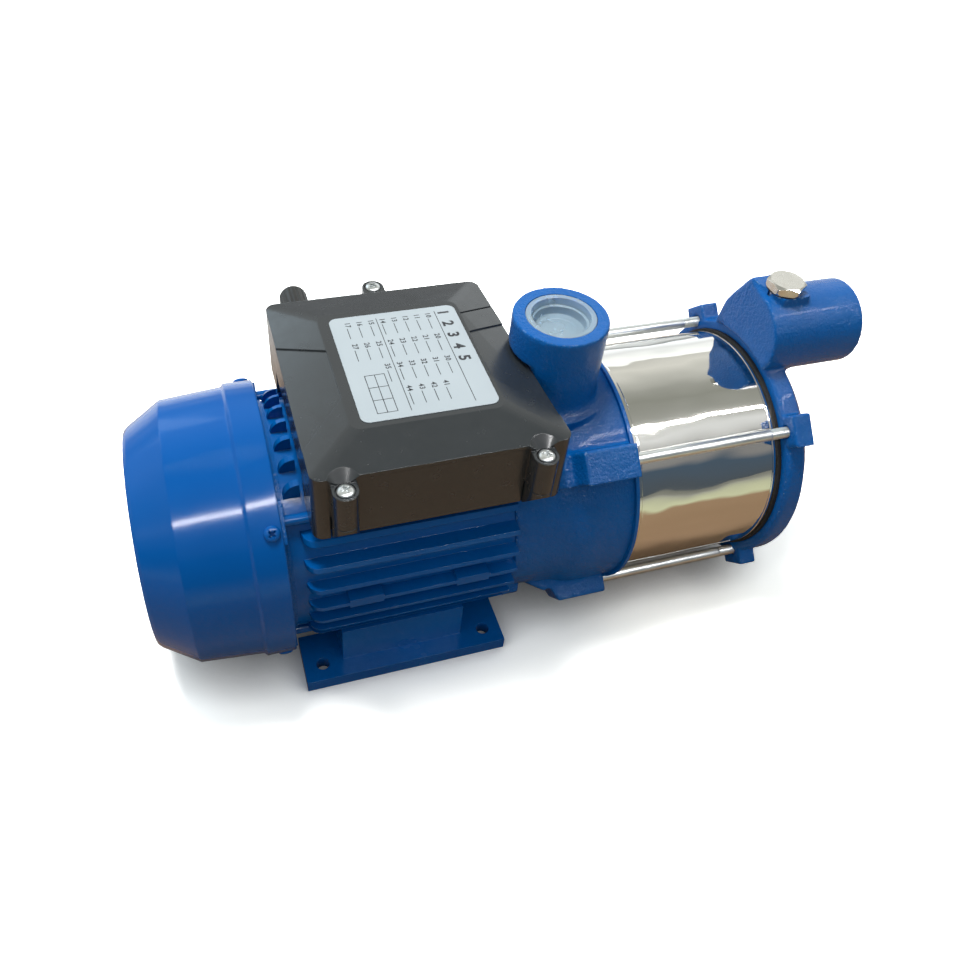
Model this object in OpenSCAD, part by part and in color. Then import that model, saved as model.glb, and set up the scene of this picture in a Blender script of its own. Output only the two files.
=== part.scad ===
// Horizontal multistage surface pump: an electric motor, its terminal box and a
// four-stage hydraulic end, each piece a separate solid.
// X runs along the shaft towards the suction port and Z is up. The origin is the
// centre of the foot bolt pattern, on the plane that the feet stand on.

/* [Motor] */
// Height of the shaft above the feet
shaft_h = 71; // [71:0.5:76]
// Outside diameter of the stator lamination stack
stator_d = 110; // [108:0.5:110]
// Wall of the finned motor frame round the stator
frame_wall = 4; // [3.5:0.1:4.5]
// Rear end of the motor frame
frame_x0 = -56; // [-57:0.5:-56]
// Front end of the motor frame, where the pump bracket starts
frame_x1 = 54.6; // [54:0.1:55]
// Diameter over the tips of the cooling fins
fin_tip_d = 131; // [129:0.5:131]
// Distance from one side fin to the next
side_fin_pitch = 12; // [11.5:0.1:12]
// Distance from one top fin to the next
top_fin_pitch = 11; // [10:0.1:11]
// Thickness of a fin at its root
fin_root_t = 3.8; // [3:0.1:4]
// Thickness of a fin at its tip
fin_tip_t = 2.4; // [2:0.1:3]
// Radius of the rounded rear corner of each fin
fin_round = 7; // [4:0.5:8]
// Length of the stator and rotor stacks
stack_l = 70; // [60:1:70]
// Radial air gap between the rotor and the stator
air_gap = 0.4; // [0.3:0.05:0.6]

/* [Feet] */
// Distance between the foot holes along the shaft
foot_pitch_l = 90; // [88:1:92]
// Distance between the foot holes across the shaft
foot_pitch_w = 112; // [110:1:113]
// Diameter of the foot holes
foot_hole_d = 7; // [6:0.5:8]
// Thickness of the foot plates
foot_t = 8; // [7:0.5:9]
// Length of the foot plates along the shaft
foot_l = 110; // [106:1:112]
// Width over both feet
foot_w = 131.4; // [130:0.2:134]
// Width of each foot plate
foot_plate_w = 29; // [27:0.5:30]

/* [Fan cowl] */
// Outside diameter of the band that clamps the cowl
cowl_band_d = 141.2; // [141:0.2:144]
// Front edge of the cowl
cowl_x1 = -58.7; // [-59.5:0.1:-58]
// Width of the band
cowl_band_l = 14; // [12:0.5:15]
// Rear face of the cowl
cowl_x0 = -122.9; // [-125:0.1:-121]
// Sheet thickness of the cowl
cowl_t = 1.5; // [1.2:0.1:1.8]
// Diameter of the fan
fan_d = 104; // [90:1:108]

/* [Terminal box] */
// Length of the box along the shaft
box_l = 114.9; // [113:0.1:115.4]
// Width of the box
box_w = 125.2; // [124:0.2:127]
// Distance of the middle of the box from the origin along the shaft
box_x = 11.15; // [11:0.05:11.5]
// Height of the underside of the box
box_z0 = 120.2; // [119.8:0.1:120.6]
// Height of the rim where the side walls end
box_rim_z = 157.6; // [156:0.2:159]
// Height of the flat top of the cover
box_top_z = 162.6; // [161:0.2:164]
// Wall of the box
box_wall = 2.2; // [2:0.1:2.6]
// Length of the rating plate along the shaft
plate_l = 63.8; // [55:0.2:66]
// Width of the rating plate
plate_w = 75.5; // [65:0.5:77]

/* [Pump] */
// Outside diameter of the stainless sleeve
sleeve_d = 125.8; // [125.6:0.1:126.2]
// Sheet thickness of the sleeve
sleeve_t = 1.5; // [1.3:0.1:1.6]
// Length along the shaft from one pump stage to the next
stage_pitch = 19.5; // [19.3:0.1:19.6]
// Diameter of the impellers
impeller_d = 92; // [84:1:94]
// Number of blades on each impeller
blade_count = 6; // [5:1:7]
// Diameter of the pump end of the shaft
pump_shaft_d = 14; // [13.6:0.1:14.2]
// Radius of the circle that the tie rods stand on
rod_circle_r = 68.8; // [68:0.1:69.5]
// Diameter of the tie rods
rod_d = 6; // [5:0.1:6.4]
// Front face of the bracket at the sleeve
bracket_x1 = 118.5; // [118:0.1:119]
// Rear face of the suction casing at the sleeve
casing_x0 = 203.5; // [203:0.1:204]
// Blank front face of the suction casing
casing_x1 = 226; // [225:0.2:228]

/* [Ports] */
// Distance of the discharge port from the origin along the shaft
port_x = 87.2; // [87:0.1:88.5]
// Height of the top of the discharge port
port_z = 176.8; // [174:0.2:180]
// Outside diameter of the discharge port
port_d = 47.4; // [46:0.2:48]
// Inside diameter of the two port threads
thread_d = 30.3; // [29.8:0.1:30.6]
// Height of the suction port axis
suction_z = 149.4; // [149:0.2:151]
// Outside diameter of the suction port
suction_d = 45; // [44:0.5:46]
// Outer end of the suction port
suction_x1 = 254.2; // [250:0.2:260]
// Diameter of the filler plug thread
filler_d = 16.6; // [16:0.1:17]
// Hexagon of the filler plug across its flats
filler_af = 18; // [18:0.5:20]

/* [Hidden] */
$fn = 72;
cut = 1;
seat_gap = 0.05;
fit_gap = 0.3;
run_gap = 0.05;
free_gap = 0.5;

blue = [0.04, 0.30, 0.66];
black = [0.10, 0.10, 0.11];
zinc = [0.78, 0.79, 0.80];
steel = [0.62, 0.63, 0.65];
iron = [0.35, 0.35, 0.37];
copper = [0.72, 0.40, 0.22];
rubber = [0.07, 0.07, 0.07];
white = [0.90, 0.92, 0.94];
brass = [0.80, 0.66, 0.34];
noryl = [0.15, 0.15, 0.16];

// Motor frame
stator_r = stator_d / 2;
frame_r = stator_r + frame_wall;
fin_tip_r = fin_tip_d / 2;
side_fin_count = 7;
top_fin_count = 7;
side_fin_inset = 5.5;
side_fin_x0 = frame_x0 + side_fin_inset;
top_fin_x0 = frame_x0 + free_gap;
fin_end_gap = 1.2;
patch_x = [-23, 31];
patch_l = 17;
patch_t = 5.6;
pad_inset = 12.3;
pad_end_gap = 0.4;
pad_x0 = box_x - box_l / 2 + pad_inset;
pad_x1 = frame_x1 - pad_end_gap;
pad_w = 58;
pad_z = 131.6;
lead_hole_d = 14;
lead_hole_inset = 15.8;
lead_hole_x = pad_x0 + lead_hole_inset;
leg_x0 = -34;
leg_l = 66;
leg_inset = 10;
leg_y = foot_w / 2 - leg_inset;
leg_z = 33;
stack_x0 = -stack_l / 2;
bore_r = 31;
slot_count = 24;
slot_w = 4.6;
slot_lip = 2;
slot_depth = 13;
slot_r0 = bore_r + slot_lip;
slot_r1 = slot_r0 + slot_depth;
coil_gap = 0.3;
coil_l = 13;
coil_inset = 1;
coil_rim = 5;
coil_r0 = slot_r0 + coil_inset;
coil_r1 = stator_r - coil_rim;
coil_round = 4;

// Shaft and rotor
rear_bearing_set = 9;
rear_bearing_x0 = frame_x0 - rear_bearing_set;
rear_bearing_w = 11;
rear_bearing_r0 = 7.5;
rear_bearing_r1 = 17.5;
front_bearing_set = 1.6;
front_bearing_x0 = frame_x1 - front_bearing_set;
front_bearing_w = 12;
front_bearing_r0 = 8.5;
front_bearing_r1 = 20;
ball_count = 8;
ball_share = 0.297;
race_share = 0.23;
rotor_seat_r = 11;
rotor_r = bore_r - air_gap;
end_ring_l = 8;
end_ring_step = 2;
end_ring_r = rotor_r - end_ring_step;
end_ring_bore_r = 20;
shoulder_r = 9.5;
fan_seat_r = 6;
fan_clearance = 15;
fan_x0 = cowl_x0 + fan_clearance;
fan_tip_step = 4;
fan_l = 20;
fan_hub_r = 12;
fan_disc_t = 2;
fan_blade_t = 2.2;
fan_blade_count = 8;
shaft_overhang = 3;
shaft_x0 = fan_x0 - shaft_overhang;
pump_shaft_r = pump_shaft_d / 2;
slinger_gap = 4;
slinger_x0 = front_bearing_x0 + front_bearing_w + slinger_gap;
slinger_r = 18;
slinger_l = 5;

// Rear end shield, its bolts and the cowl
shield_back_t = 4;
shield_x0 = rear_bearing_x0 - shield_back_t;
shield_web_t = 5;
shield_rim_step = 1;
shield_rim_r = frame_r + shield_rim_step;
shield_spigot_l = 6;
shield_spigot_t = 4;
shield_hub_t = 6;
shield_hub_r = rear_bearing_r1 + shield_hub_t;
shield_hub_l = 17;
washer_t = 1;
washer_w = 3;
ear_w = 20;
ear_gap = 1;
ear_x1 = frame_x0 - ear_gap;
tie_angles = [45, 135, 225, 315];
bolt_circle_r = 62;
bolt_d = 5;
bolt_head_af = 8;
bolt_head_t = 3.5;
bolt_grip = 7.5;
cowl_band_r = cowl_band_d / 2;
cowl_step = 1.5;
cowl_drum_r = cowl_band_r - cowl_step;
cowl_draft = 2.2;
cowl_shoulder_r = cowl_drum_r - cowl_draft;
cowl_shoulder_l = 18.3;
cowl_rear_r = 56.1;
cowl_screw_angles = [48, 132, 228, 312];
cowl_screw_inset = 4.6;
cowl_screw_x = cowl_x1 - cowl_screw_inset;
cowl_screw_d = 4;
cowl_screw_l = 4.6;
cowl_screw_head_d = 7.6;
cowl_screw_head_t = 2;
grille_r0 = 12;
grille_step = 8.6;
grille_rows = 5;
grille_slot_w = 4.4;
grille_spoke_w = 6;
grille_spokes = 6;

// Terminal box
box_x0 = box_x - box_l / 2;
box_x1 = box_x + box_l / 2;
box_corner = 5;
box_flare = 2.8;
base_rise = 2.8;
base_z0 = box_z0 + base_rise;
skirt_in = 38;
gasket_t = 1.2;
gasket_margin = 3;
base_t = 2.5;
hat_z = pad_z + gasket_t;
hat_in = 33.5;
top_l = 71;
top_w = 82;
pocket_depth = 0.7;
// side of the box, then the shares of its width at the outer and inner ends of both edges
pocket_shares = [[-1, 0.236, 0.117, -0.379, -0.157], [1, 0.204, 0.119, -0.388, -0.156],
    [1, 0.331, 0.243, 0.323, 0.235], [-1, -0.212, -0.092, -0.220, -0.100]];
cover_screw_shares = [[-0.381, -0.533], [0.399, -0.533], [0.0065, 0.578]];
lug_r = 5.7;
lug_drop = 4.7;
lug_top_z = box_rim_z - lug_drop;
lug_cup = 1.1;
lug_cup_gap = 0.5;
notch_h = 12;
ear_h = 14;
ear_z = box_z0 + ear_h;
ear_root = 1.6;
ear_slope_share = 1.234;
lug_gap = 0.4;
cover_screw_d = 4;
cover_screw_l = 24;
cover_head_d = 8;
cover_head_t = 2.5;
cup_r = cover_head_d / 2 + lug_cup_gap;
near_recess = 0.8;
plate_shift = 1.7;
plate_x = box_x + plate_shift;
plate_y = -0.4;
plate_t = 0.3;
plate_round = 4;
block_l = 40;
block_w = 20;
block_h = 12;
block_shift = 22;
block_x = box_x + block_shift;
block_y = 18;
terminal_count = 4;
terminal_d = 4;
terminal_h = 4;
capacitor_d = box_w / 2 - box_wall - near_recess - hat_in - base_t - 2 * free_gap;
capacitor_l = 62;
capacitor_x0 = box_x - capacitor_l / 2;
capacitor_y = -hat_in - base_t - free_gap - capacitor_d / 2;
gland_inset = 17.8;
gland_x = box_x0 + gland_inset;
gland_z = 142;
gland_r = 6;
gland_hex_af = 13.6;
gland_hex_l = 4.5;
gland_nut_l = 23.5;
gland_nut_r = 7.4;
gland_bore_r = 3.5;
gland_inner_l = 8;
gland_seat_r = 5;
gland_seat_l = 9;
gland_spigot_t = 1;
gland_seal_rise = 3;
gland_round = 4;
locknut_t = 3;
locknut_af = 15;

// Pump bracket
bracket_x0 = frame_x1;
spigot_l = 4;
drum_rear_r = 60.5;
drum_mid_r = 62;
drum_front_r = 65.6;
valley_shift = 3;
valley_x = port_x - valley_shift;
valley_l = 6;
valley_rise = 0.6;
shoulder_round = 1;
rim_edge_l = 1;
rim_edge_drop = 0.6;
sleeve_r = sleeve_d / 2;
sleeve_in_r = sleeve_r - sleeve_t;
chamber_wall = 5.4;
chamber_r = sleeve_in_r - chamber_wall;
nose_l = 2.5;
nose_x = bracket_x1 + nose_l;
groove_depth = 3.5;
gasket_ring_t = 1.2;
gasket_show = 1.8;
chamber_rear_l = 13;
chamber_x0 = port_x - chamber_rear_l;
lantern_r = 34;
lantern_shift = 3;
lantern_x1 = port_x - lantern_shift;
lantern_rear_gap = 2;
duct_wall = 6;
duct_r = lantern_r + duct_wall;
seal_wall_t = 9;
seal_wall_x = lantern_x1 + seal_wall_t;
seal_hub_r = 22;
seal_hub_l = 10;
seal_hub_x = seal_wall_x + seal_hub_l;
shaft_clearance = 1;
seat_r = 13.5;
relief_r0 = 28;
relief_r1 = 50;
relief_l = 8;
relief_x1 = frame_x1 + relief_l;
bearing_lip = 3;
lug_w = 17;
lug_flat_r = 75.5;
lug_tail_r = 68;
lug_root_r = 56;
lug_tail_x = 65;
lug_step_x = 84;
lug_x1 = 116.6;
lug_toe_l = 3;
lug_toe_rise = 2;
lug_step_l = 4;
lug_dip = 1;
tie_ear_r = 5;
tie_ear_overrun = 2;
tie_ear_x1 = lug_tail_x + tie_ear_overrun;
rod_blind = 20;
port_r = port_d / 2;
port_base_step = 0.6;
port_base_z = shaft_h + chamber_r + port_base_step;
port_fillet = 6;
port_flat_gap = 1.6;
port_flat_rise = 1.7;
port_flat_z = box_rim_z + port_flat_rise;
thread_r = thread_d / 2;
thread_l = 18;
waterway_step = 1.2;
waterway_r = thread_r - waterway_step;
duct_step = 2;
cap_rim_r = 17.36;
cap_rim_t = 2.5;
cap_skirt_r = 15.4;
cap_wall = 1.2;
cap_depth = 9.5;
cap_step_z = 4;
cap_gap = 0.2;
cap_seat_z = port_z - cap_depth - cap_gap - cut;

// Pump stages
pack_x0 = nose_x;
stage_count = 4;
pack_x1 = pack_x0 + stage_count * stage_pitch;
stage_r = sleeve_in_r - fit_gap;
stage_wall = 4;
stage_plate_t = 2;
eye_hole_r = 17;
eye_gap = 0.4;
eye_r = 13;
impeller_gap = 0.5;
impeller_l = 8.5;
shroud_t = 1.5;
hub_r = 9.4;
mid_wall_r = 51;
vane_t = 2.4;
vane_count = 6;
blade_t = 1.8;
blade_r0 = 16;
blade_sweep = 70;
blade_steps = 8;
key_w = 4;
key_r0 = 4.8;
key_r1 = 8.3;
key_margin = 1;
tail_r = 5;
tail_l = 8;
nut_af = 14;
nut_l = 6;

// Mechanical seal
seal_seat_step = 1;
seal_seat_x0 = seal_wall_x + seal_seat_step;
seal_seat_l = 8;
seal_ring_l = 6;
seal_ring_r = 13;
bellows_l = 4;
spring_wire_r = 0.6;
spring_r = 12;
spring_centre_r = spring_r - 2 * spring_wire_r;
bellows_r = spring_centre_r - spring_wire_r - fit_gap;
spring_turns = 3;
spring_sides = 6;
spring_steps = 16;

// Suction casing
casing_r = 69.5;
casing_edge = 1.5;
casing_rim_l = 10.5;
casing_taper = 3;
dome_round = 4.5;
dome_shoulder_r = 62;
dome_shoulder_l = 6;
dome_shoulder_x = casing_x1 - dome_shoulder_l;
dome_face_r = 50;
casing_groove = 2;
casing_chamber_r = 48;
casing_wall = 7;
casing_lug_l = 10.5;
casing_lug_w = 17;
casing_lug_flat_r = 77.7;
rod_seat_l = 4.5;
// corners of the neck as shares of the port diameter and of its height over the shaft
neck_low_shares = [[0.733, 0.727], [0.700, 0.837], [0.669, 0.921], [-0.400, 0.855],
    [-0.311, 0.727]];
neck_high_shares = [[0.591, 0.957], [0.582, 1.037], [0.511, 1.117], [0.400, 1.219],
    [0.322, 1.301], [0, 1.280]];
neck_t = 12.5;
neck_lean = 3;
suction_root_l = 18;
duct_l = 11;
duct_w = 34;
duct_inset = 4;
duct_x0 = casing_x0 + duct_inset;
suction_r = suction_d / 2;
filler_inset = 8.7;
filler_x = casing_x0 + filler_inset;
filler_z = 174.8;
// corners of the pad under the plug, as shares of the plug's diameter
filler_pad_shares = [[-0.480, -0.253], [-0.313, -0.542], [0.590, -0.542], [0.771, -0.301],
    [0.771, 0.602], [0.410, 0.843], [-0.723, 0.783]];
filler_r = filler_d / 2;
filler_shank_l = 10;
filler_washer_t = 1;
filler_washer_r = 8.9;
filler_head_t = 4.6;
filler_angle = 33;
plug_chamfer = 1.2;
drain_drop = 38;
drain_z = shaft_h - drain_drop;
drain_r = 6.55;
drain_boss_r = 11;
drain_boss_t = 3;
drain_af = 14;
drain_shank_l = 10;
drain_washer_t = 1.2;
drain_washer_r = 9;
drain_head_t = 6;
rod_nut_af = 10;
rod_nut_t = 5;
rod_washer_r = 6;
rod_washer_t = 1.2;
rod_end = 0.8;

// Points on a quarter or other arc, from angle a0 to a1
function arc(cx, cy, r, a0, a1, n) =
    [for (i = [0:n]) let (a = a0 + (a1 - a0) * i / n) [cx + r * cos(a), cy + r * sin(a)]];

// Local frame with its Z axis along the shaft
module on_shaft() {
    translate([0, 0, shaft_h]) rotate([0, 90, 0]) children();
}

// A solid turned about the shaft from [radius, place along the shaft] points
module turned(points) {
    on_shaft() rotate_extrude() polygon(points);
}

// A plain ring or disc about the shaft
module ring(x0, x1, r_in, r_out) {
    turned([[r_in, x0], [r_out, x0], [r_out, x1], [r_in, x1]]);
}

// Local frame turned about the shaft: Z points outwards and X stays along the shaft.
// An angle of 0 is up and 90 is the near side.
module at_angle(a) {
    translate([0, 0, shaft_h]) rotate([a, 0, 0]) children();
}

// A round bar along X in the local frame
module bar_x(x0, x1, r) {
    translate([x0, 0, 0]) rotate([0, 90, 0]) cylinder(r = r, h = x1 - x0);
}

// A hexagonal bar along X in the local frame
module hex_x(x0, x1, af) {
    translate([x0, 0, 0]) rotate([0, 90, 0])
        cylinder(d = af / cos(30), h = x1 - x0, $fn = 6);
}

// A plan outline with round corners, of the terminal box and its plates
module rounded(l, w, r) {
    union() {
        square([l - 2 * r, w], center = true);
        square([l, w - 2 * r], center = true);
        for (sx = [-1, 1], sy = [-1, 1])
            translate([sx * (l / 2 - r), sy * (w / 2 - r)]) circle(r = r, $fn = 24);
    }
}

// Tapered plates across the frame, with their thin edges at the fin tips
module fin_plates(count, pitch, x0) {
    for (i = [0:count - 1])
        translate([x0, 0, shaft_h + (i - (count - 1) / 2) * pitch])
            rotate([90, 0, 90]) linear_extrude(frame_x1 - x0)
                polygon([[-fin_tip_r, fin_tip_t / 2], [0, fin_root_t / 2],
                    [fin_tip_r, fin_tip_t / 2], [fin_tip_r, -fin_tip_t / 2],
                    [0, -fin_root_t / 2], [-fin_tip_r, -fin_tip_t / 2]]);
}

// The space that the fins fill, with a round rear corner
module fin_envelope(x0) {
    turned(concat([[0, x0]], [[fin_tip_r - fin_round, x0]],
        arc(fin_tip_r - fin_round, x0 + fin_round, fin_round, -60, 0, 4),
        [[fin_tip_r, frame_x1], [0, frame_x1]]));
}

module side_fins() {
    intersection() {
        fin_envelope(side_fin_x0);
        union() {
            fin_plates(side_fin_count, side_fin_pitch, side_fin_x0);
            for (x = patch_x)
                translate([x - patch_l / 2, -fin_tip_r, shaft_h - patch_t / 2])
                    cube([patch_l, fin_tip_d, patch_t]);
        }
    }
}

module top_fins() {
    difference() {
        intersection() {
            fin_envelope(top_fin_x0);
            translate([0, 0, shaft_h]) rotate([90, 0, 0]) translate([0, 0, -shaft_h])
                fin_plates(top_fin_count, top_fin_pitch, top_fin_x0);
        }
        translate([box_x0 - fin_end_gap, -box_w / 2, box_z0 - fin_end_gap])
            cube([box_l, box_w, fin_tip_r]);
        translate([frame_x0 - cut, -foot_w / 2, 0])
            cube([frame_x1 - frame_x0 + 2 * cut, foot_w, foot_t]);
    }
}

module foot(side) {
    hole_y = foot_pitch_w / 2;
    edge = foot_w / 2;
    scale([1, side, 1]) {
        translate([-foot_l / 2, edge - foot_plate_w, 0]) cube([foot_l, foot_plate_w, foot_t]);
        translate([leg_x0, edge - foot_plate_w, 0])
            cube([leg_l, leg_y - edge + foot_plate_w, leg_z]);
    }
}

module motor_frame() color(blue) difference() {
    union() {
        side_fins();
        top_fins();
        ring(frame_x0, frame_x1, 0, frame_r);
        translate([pad_x0, -pad_w / 2, shaft_h])
            cube([pad_x1 - pad_x0, pad_w, pad_z - shaft_h]);
        foot(1);
        foot(-1);
    }
    ring(frame_x0 - cut, frame_x1 + cut, 0, stator_r);
    translate([lead_hole_x, 0, shaft_h]) cylinder(d = lead_hole_d, h = shaft_h);
    for (sx = [-1, 1], sy = [-1, 1])
        translate([sx * foot_pitch_l / 2, sy * foot_pitch_w / 2, -cut])
            cylinder(d = foot_hole_d, h = foot_t + 2 * cut);
    for (a = tie_angles) at_angle(a) translate([0, 0, bolt_circle_r])
        bar_x(frame_x0, frame_x1, bolt_d / 2 + fit_gap);
}

module rear_end_shield() color(blue) difference() {
    union() {
        turned([[0, frame_x0 - shield_web_t], [shield_rim_r, frame_x0 - shield_web_t],
            [shield_rim_r, frame_x0], [stator_r - seat_gap, frame_x0],
            [stator_r - seat_gap, frame_x0 + shield_spigot_l],
            [stator_r - shield_spigot_t, frame_x0 + shield_spigot_l],
            [stator_r - shield_spigot_t, frame_x0], [0, frame_x0]]);
        ring(shield_x0, shield_x0 + shield_hub_l, 0, shield_hub_r);
        intersection() {
            ring(shield_x0, ear_x1, 0, cowl_band_r - cowl_t - seat_gap);
            for (a = tie_angles) at_angle(a)
                translate([shield_x0, -ear_w / 2, frame_r - frame_wall])
                    cube([ear_x1 - shield_x0, ear_w, cowl_band_r]);
        }
    }
    ring(rear_bearing_x0 - washer_t, frame_x0 + shield_hub_l, 0, rear_bearing_r1 + seat_gap);
    ring(shield_x0 - cut, frame_x0, 0, shoulder_r);
    for (a = tie_angles) at_angle(a) translate([0, 0, bolt_circle_r])
        bar_x(shield_x0 - cut, frame_x0 + cut, bolt_d / 2 + fit_gap);
    for (a = cowl_screw_angles) at_angle(a)
        translate([cowl_screw_x, 0, cowl_band_r - cowl_screw_l - free_gap])
            cylinder(d = cowl_screw_d + 2 * run_gap, h = cowl_band_r);
}

// Rows of slots in the rear face of the cowl, parted by straight spokes
module grille() {
    difference() {
        for (i = [0:grille_rows - 1])
            ring(cowl_x0 - cut, cowl_x0 + cowl_t + cut, grille_r0 + i * grille_step - grille_slot_w,
                grille_r0 + i * grille_step);
        for (k = [0:grille_spokes - 1]) at_angle(k * 360 / grille_spokes)
            translate([cowl_x0 - 2 * cut, -grille_spoke_w / 2, 0])
                cube([cowl_t + 4 * cut, grille_spoke_w, cowl_band_r]);
    }
}

module fan_cowl() color(blue) difference() {
    turned([[0, cowl_x0], [cowl_rear_r - cowl_t, cowl_x0],
        [cowl_rear_r, cowl_x0 + cowl_t], [cowl_shoulder_r, cowl_x0 + cowl_shoulder_l],
        [cowl_drum_r, cowl_x1 - cowl_band_l - cowl_step], [cowl_band_r, cowl_x1 - cowl_band_l],
        [cowl_band_r, cowl_x1], [0, cowl_x1]]);
    turned([[0, cowl_x0 + cowl_t], [cowl_rear_r - 2 * cowl_t, cowl_x0 + cowl_t],
        [cowl_shoulder_r - cowl_t, cowl_x0 + cowl_shoulder_l],
        [cowl_drum_r - cowl_t, cowl_x1 - cowl_band_l - cowl_step],
        [cowl_band_r - cowl_t, cowl_x1 - cowl_band_l],
        [cowl_band_r - cowl_t, cowl_x1 + cut], [0, cowl_x1 + cut]]);
    grille();
    for (a = cowl_screw_angles) at_angle(a)
        translate([cowl_screw_x, 0, cowl_rear_r])
            cylinder(d = cowl_screw_d + 2 * run_gap, h = cowl_band_r);
}

module cowl_screws() color(blue) {
    for (a = cowl_screw_angles) at_angle(a) translate([cowl_screw_x, 0, cowl_band_r]) {
        rotate_extrude($fn = 32) polygon(concat([[0, -cowl_screw_l], [cowl_screw_d / 2, -cowl_screw_l],
            [cowl_screw_d / 2, 0], [cowl_screw_head_d / 2, 0]],
            [[cowl_screw_head_d / 2, cowl_screw_head_t * 0.4],
            [cowl_screw_head_d * 0.36, cowl_screw_head_t * 0.85],
            [cowl_screw_head_d * 0.18, cowl_screw_head_t], [0, cowl_screw_head_t]]));
    }
}

module motor_tie_bolts() color(zinc) {
    for (a = tie_angles) at_angle(a) translate([0, 0, bolt_circle_r]) {
        bar_x(shield_x0, bracket_x0 + bolt_grip, bolt_d / 2);
        hex_x(shield_x0 - bolt_head_t, shield_x0, bolt_head_af);
    }
}

// Slots of the stator, or the conductors that lie in them
module stator_slots(clear, x0, x1) {
    for (i = [0:slot_count - 1]) at_angle((i + 0.5) * 360 / slot_count)
        translate([x0, -slot_w / 2 + clear, slot_r0 + clear])
            cube([x1 - x0, slot_w - 2 * clear, slot_r1 - slot_r0 - 2 * clear]);
}

module stator_core() color(iron) difference() {
    ring(stack_x0, -stack_x0, bore_r, stator_r - seat_gap);
    stator_slots(0, stack_x0 - cut, -stack_x0 + cut);
}

module end_turns(x0, x1, out) {
    tip = out > 0 ? x1 : x0;
    base = out > 0 ? x0 : x1;
    turned([[coil_r0, base], [coil_r1, base], [coil_r1, tip - out * coil_round],
        [coil_r1 - coil_round, tip], [coil_r0 + coil_round, tip],
        [coil_r0, tip - out * coil_round]]);
}

module stator_windings() color(copper) {
    stator_slots(coil_gap, stack_x0 - 2 * cut, -stack_x0 + 2 * cut);
    end_turns(stack_x0 - coil_l, stack_x0 - cut, -1);
    end_turns(-stack_x0 + cut, -stack_x0 + coil_l, 1);
}

// Deep groove ball bearing: ring faces and ball sizes follow from the two radii
function race_r(r0, r1) = (r0 + r1) / 2;
function ball_r(r0, r1) = (r1 - r0) * ball_share;

module bearing_ring(x0, w, r_in, r_out, r0, r1) {
    on_shaft() rotate_extrude() difference() {
        translate([r_in, x0]) square([r_out - r_in, w]);
        translate([race_r(r0, r1), x0 + w / 2]) circle(r = ball_r(r0, r1) + run_gap, $fn = 48);
    }
}

module outer_ring(x0, w, r0, r1) {
    bearing_ring(x0, w, race_r(r0, r1) + (r1 - r0) * race_share, r1, r0, r1);
}

module inner_ring(x0, w, r0, r1) {
    bearing_ring(x0, w, r0, race_r(r0, r1) - (r1 - r0) * race_share, r0, r1);
}

module balls(x0, w, r0, r1, r) {
    for (i = [0:ball_count - 1]) at_angle(i * 360 / ball_count)
        translate([x0 + w / 2, 0, race_r(r0, r1)]) sphere(r = r, $fn = 32);
}

module cage(x0, w, r0, r1) {
    half = ball_r(r0, r1) + 4 * run_gap + free_gap;
    band = ball_r(r0, r1) * 0.2;
    difference() {
        ring(x0 + w / 2 - half, x0 + w / 2 + half, race_r(r0, r1) - band, race_r(r0, r1) + band);
        balls(x0, w, r0, r1, ball_r(r0, r1) + 2 * run_gap);
    }
}

module rear_bearing_outer_ring() color(steel)
    outer_ring(rear_bearing_x0, rear_bearing_w, rear_bearing_r0, rear_bearing_r1);
module rear_bearing_inner_ring() color(steel)
    inner_ring(rear_bearing_x0, rear_bearing_w, rear_bearing_r0, rear_bearing_r1);
module rear_bearing_balls() color(zinc)
    balls(rear_bearing_x0, rear_bearing_w, rear_bearing_r0, rear_bearing_r1,
        ball_r(rear_bearing_r0, rear_bearing_r1));
module rear_bearing_cage() color(brass)
    cage(rear_bearing_x0, rear_bearing_w, rear_bearing_r0, rear_bearing_r1);
module front_bearing_outer_ring() color(steel)
    outer_ring(front_bearing_x0, front_bearing_w, front_bearing_r0, front_bearing_r1);
module front_bearing_inner_ring() color(steel)
    inner_ring(front_bearing_x0, front_bearing_w, front_bearing_r0, front_bearing_r1);
module front_bearing_balls() color(zinc)
    balls(front_bearing_x0, front_bearing_w, front_bearing_r0, front_bearing_r1,
        ball_r(front_bearing_r0, front_bearing_r1));
module front_bearing_cage() color(brass)
    cage(front_bearing_x0, front_bearing_w, front_bearing_r0, front_bearing_r1);

module wave_washer() color(steel)
    ring(rear_bearing_x0 - washer_t, rear_bearing_x0, rear_bearing_r1 - washer_w, rear_bearing_r1 - fit_gap);

module rotor_shaft() color(steel) difference() {
    turned([[0, shaft_x0], [fan_seat_r, shaft_x0], [fan_seat_r, rear_bearing_x0 - washer_t],
        [rear_bearing_r0, rear_bearing_x0 - washer_t],
        [rear_bearing_r0, rear_bearing_x0 + rear_bearing_w],
        [shoulder_r, rear_bearing_x0 + rear_bearing_w], [shoulder_r, stack_x0 - end_ring_l],
        [rotor_seat_r, stack_x0 - end_ring_l], [rotor_seat_r, front_bearing_x0],
        [front_bearing_r0, front_bearing_x0],
        [front_bearing_r0, front_bearing_x0 + front_bearing_w + washer_t],
        [pump_shaft_r, front_bearing_x0 + front_bearing_w + washer_t], [pump_shaft_r, pack_x1],
        [tail_r, pack_x1], [tail_r, pack_x1 + tail_l], [0, pack_x1 + tail_l]]);
    key_slot();
}

// Slot for the impeller key, cut alike in the shaft and in each hub
module key_slot() {
    translate([pack_x0 + key_margin - seat_gap, -key_w / 2 - seat_gap, shaft_h + key_r0 - seat_gap])
        cube([pack_x1 - pack_x0 - 2 * key_margin + 2 * seat_gap, key_w + 2 * seat_gap,
            key_r1 - key_r0 + 2 * seat_gap]);
}

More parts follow.
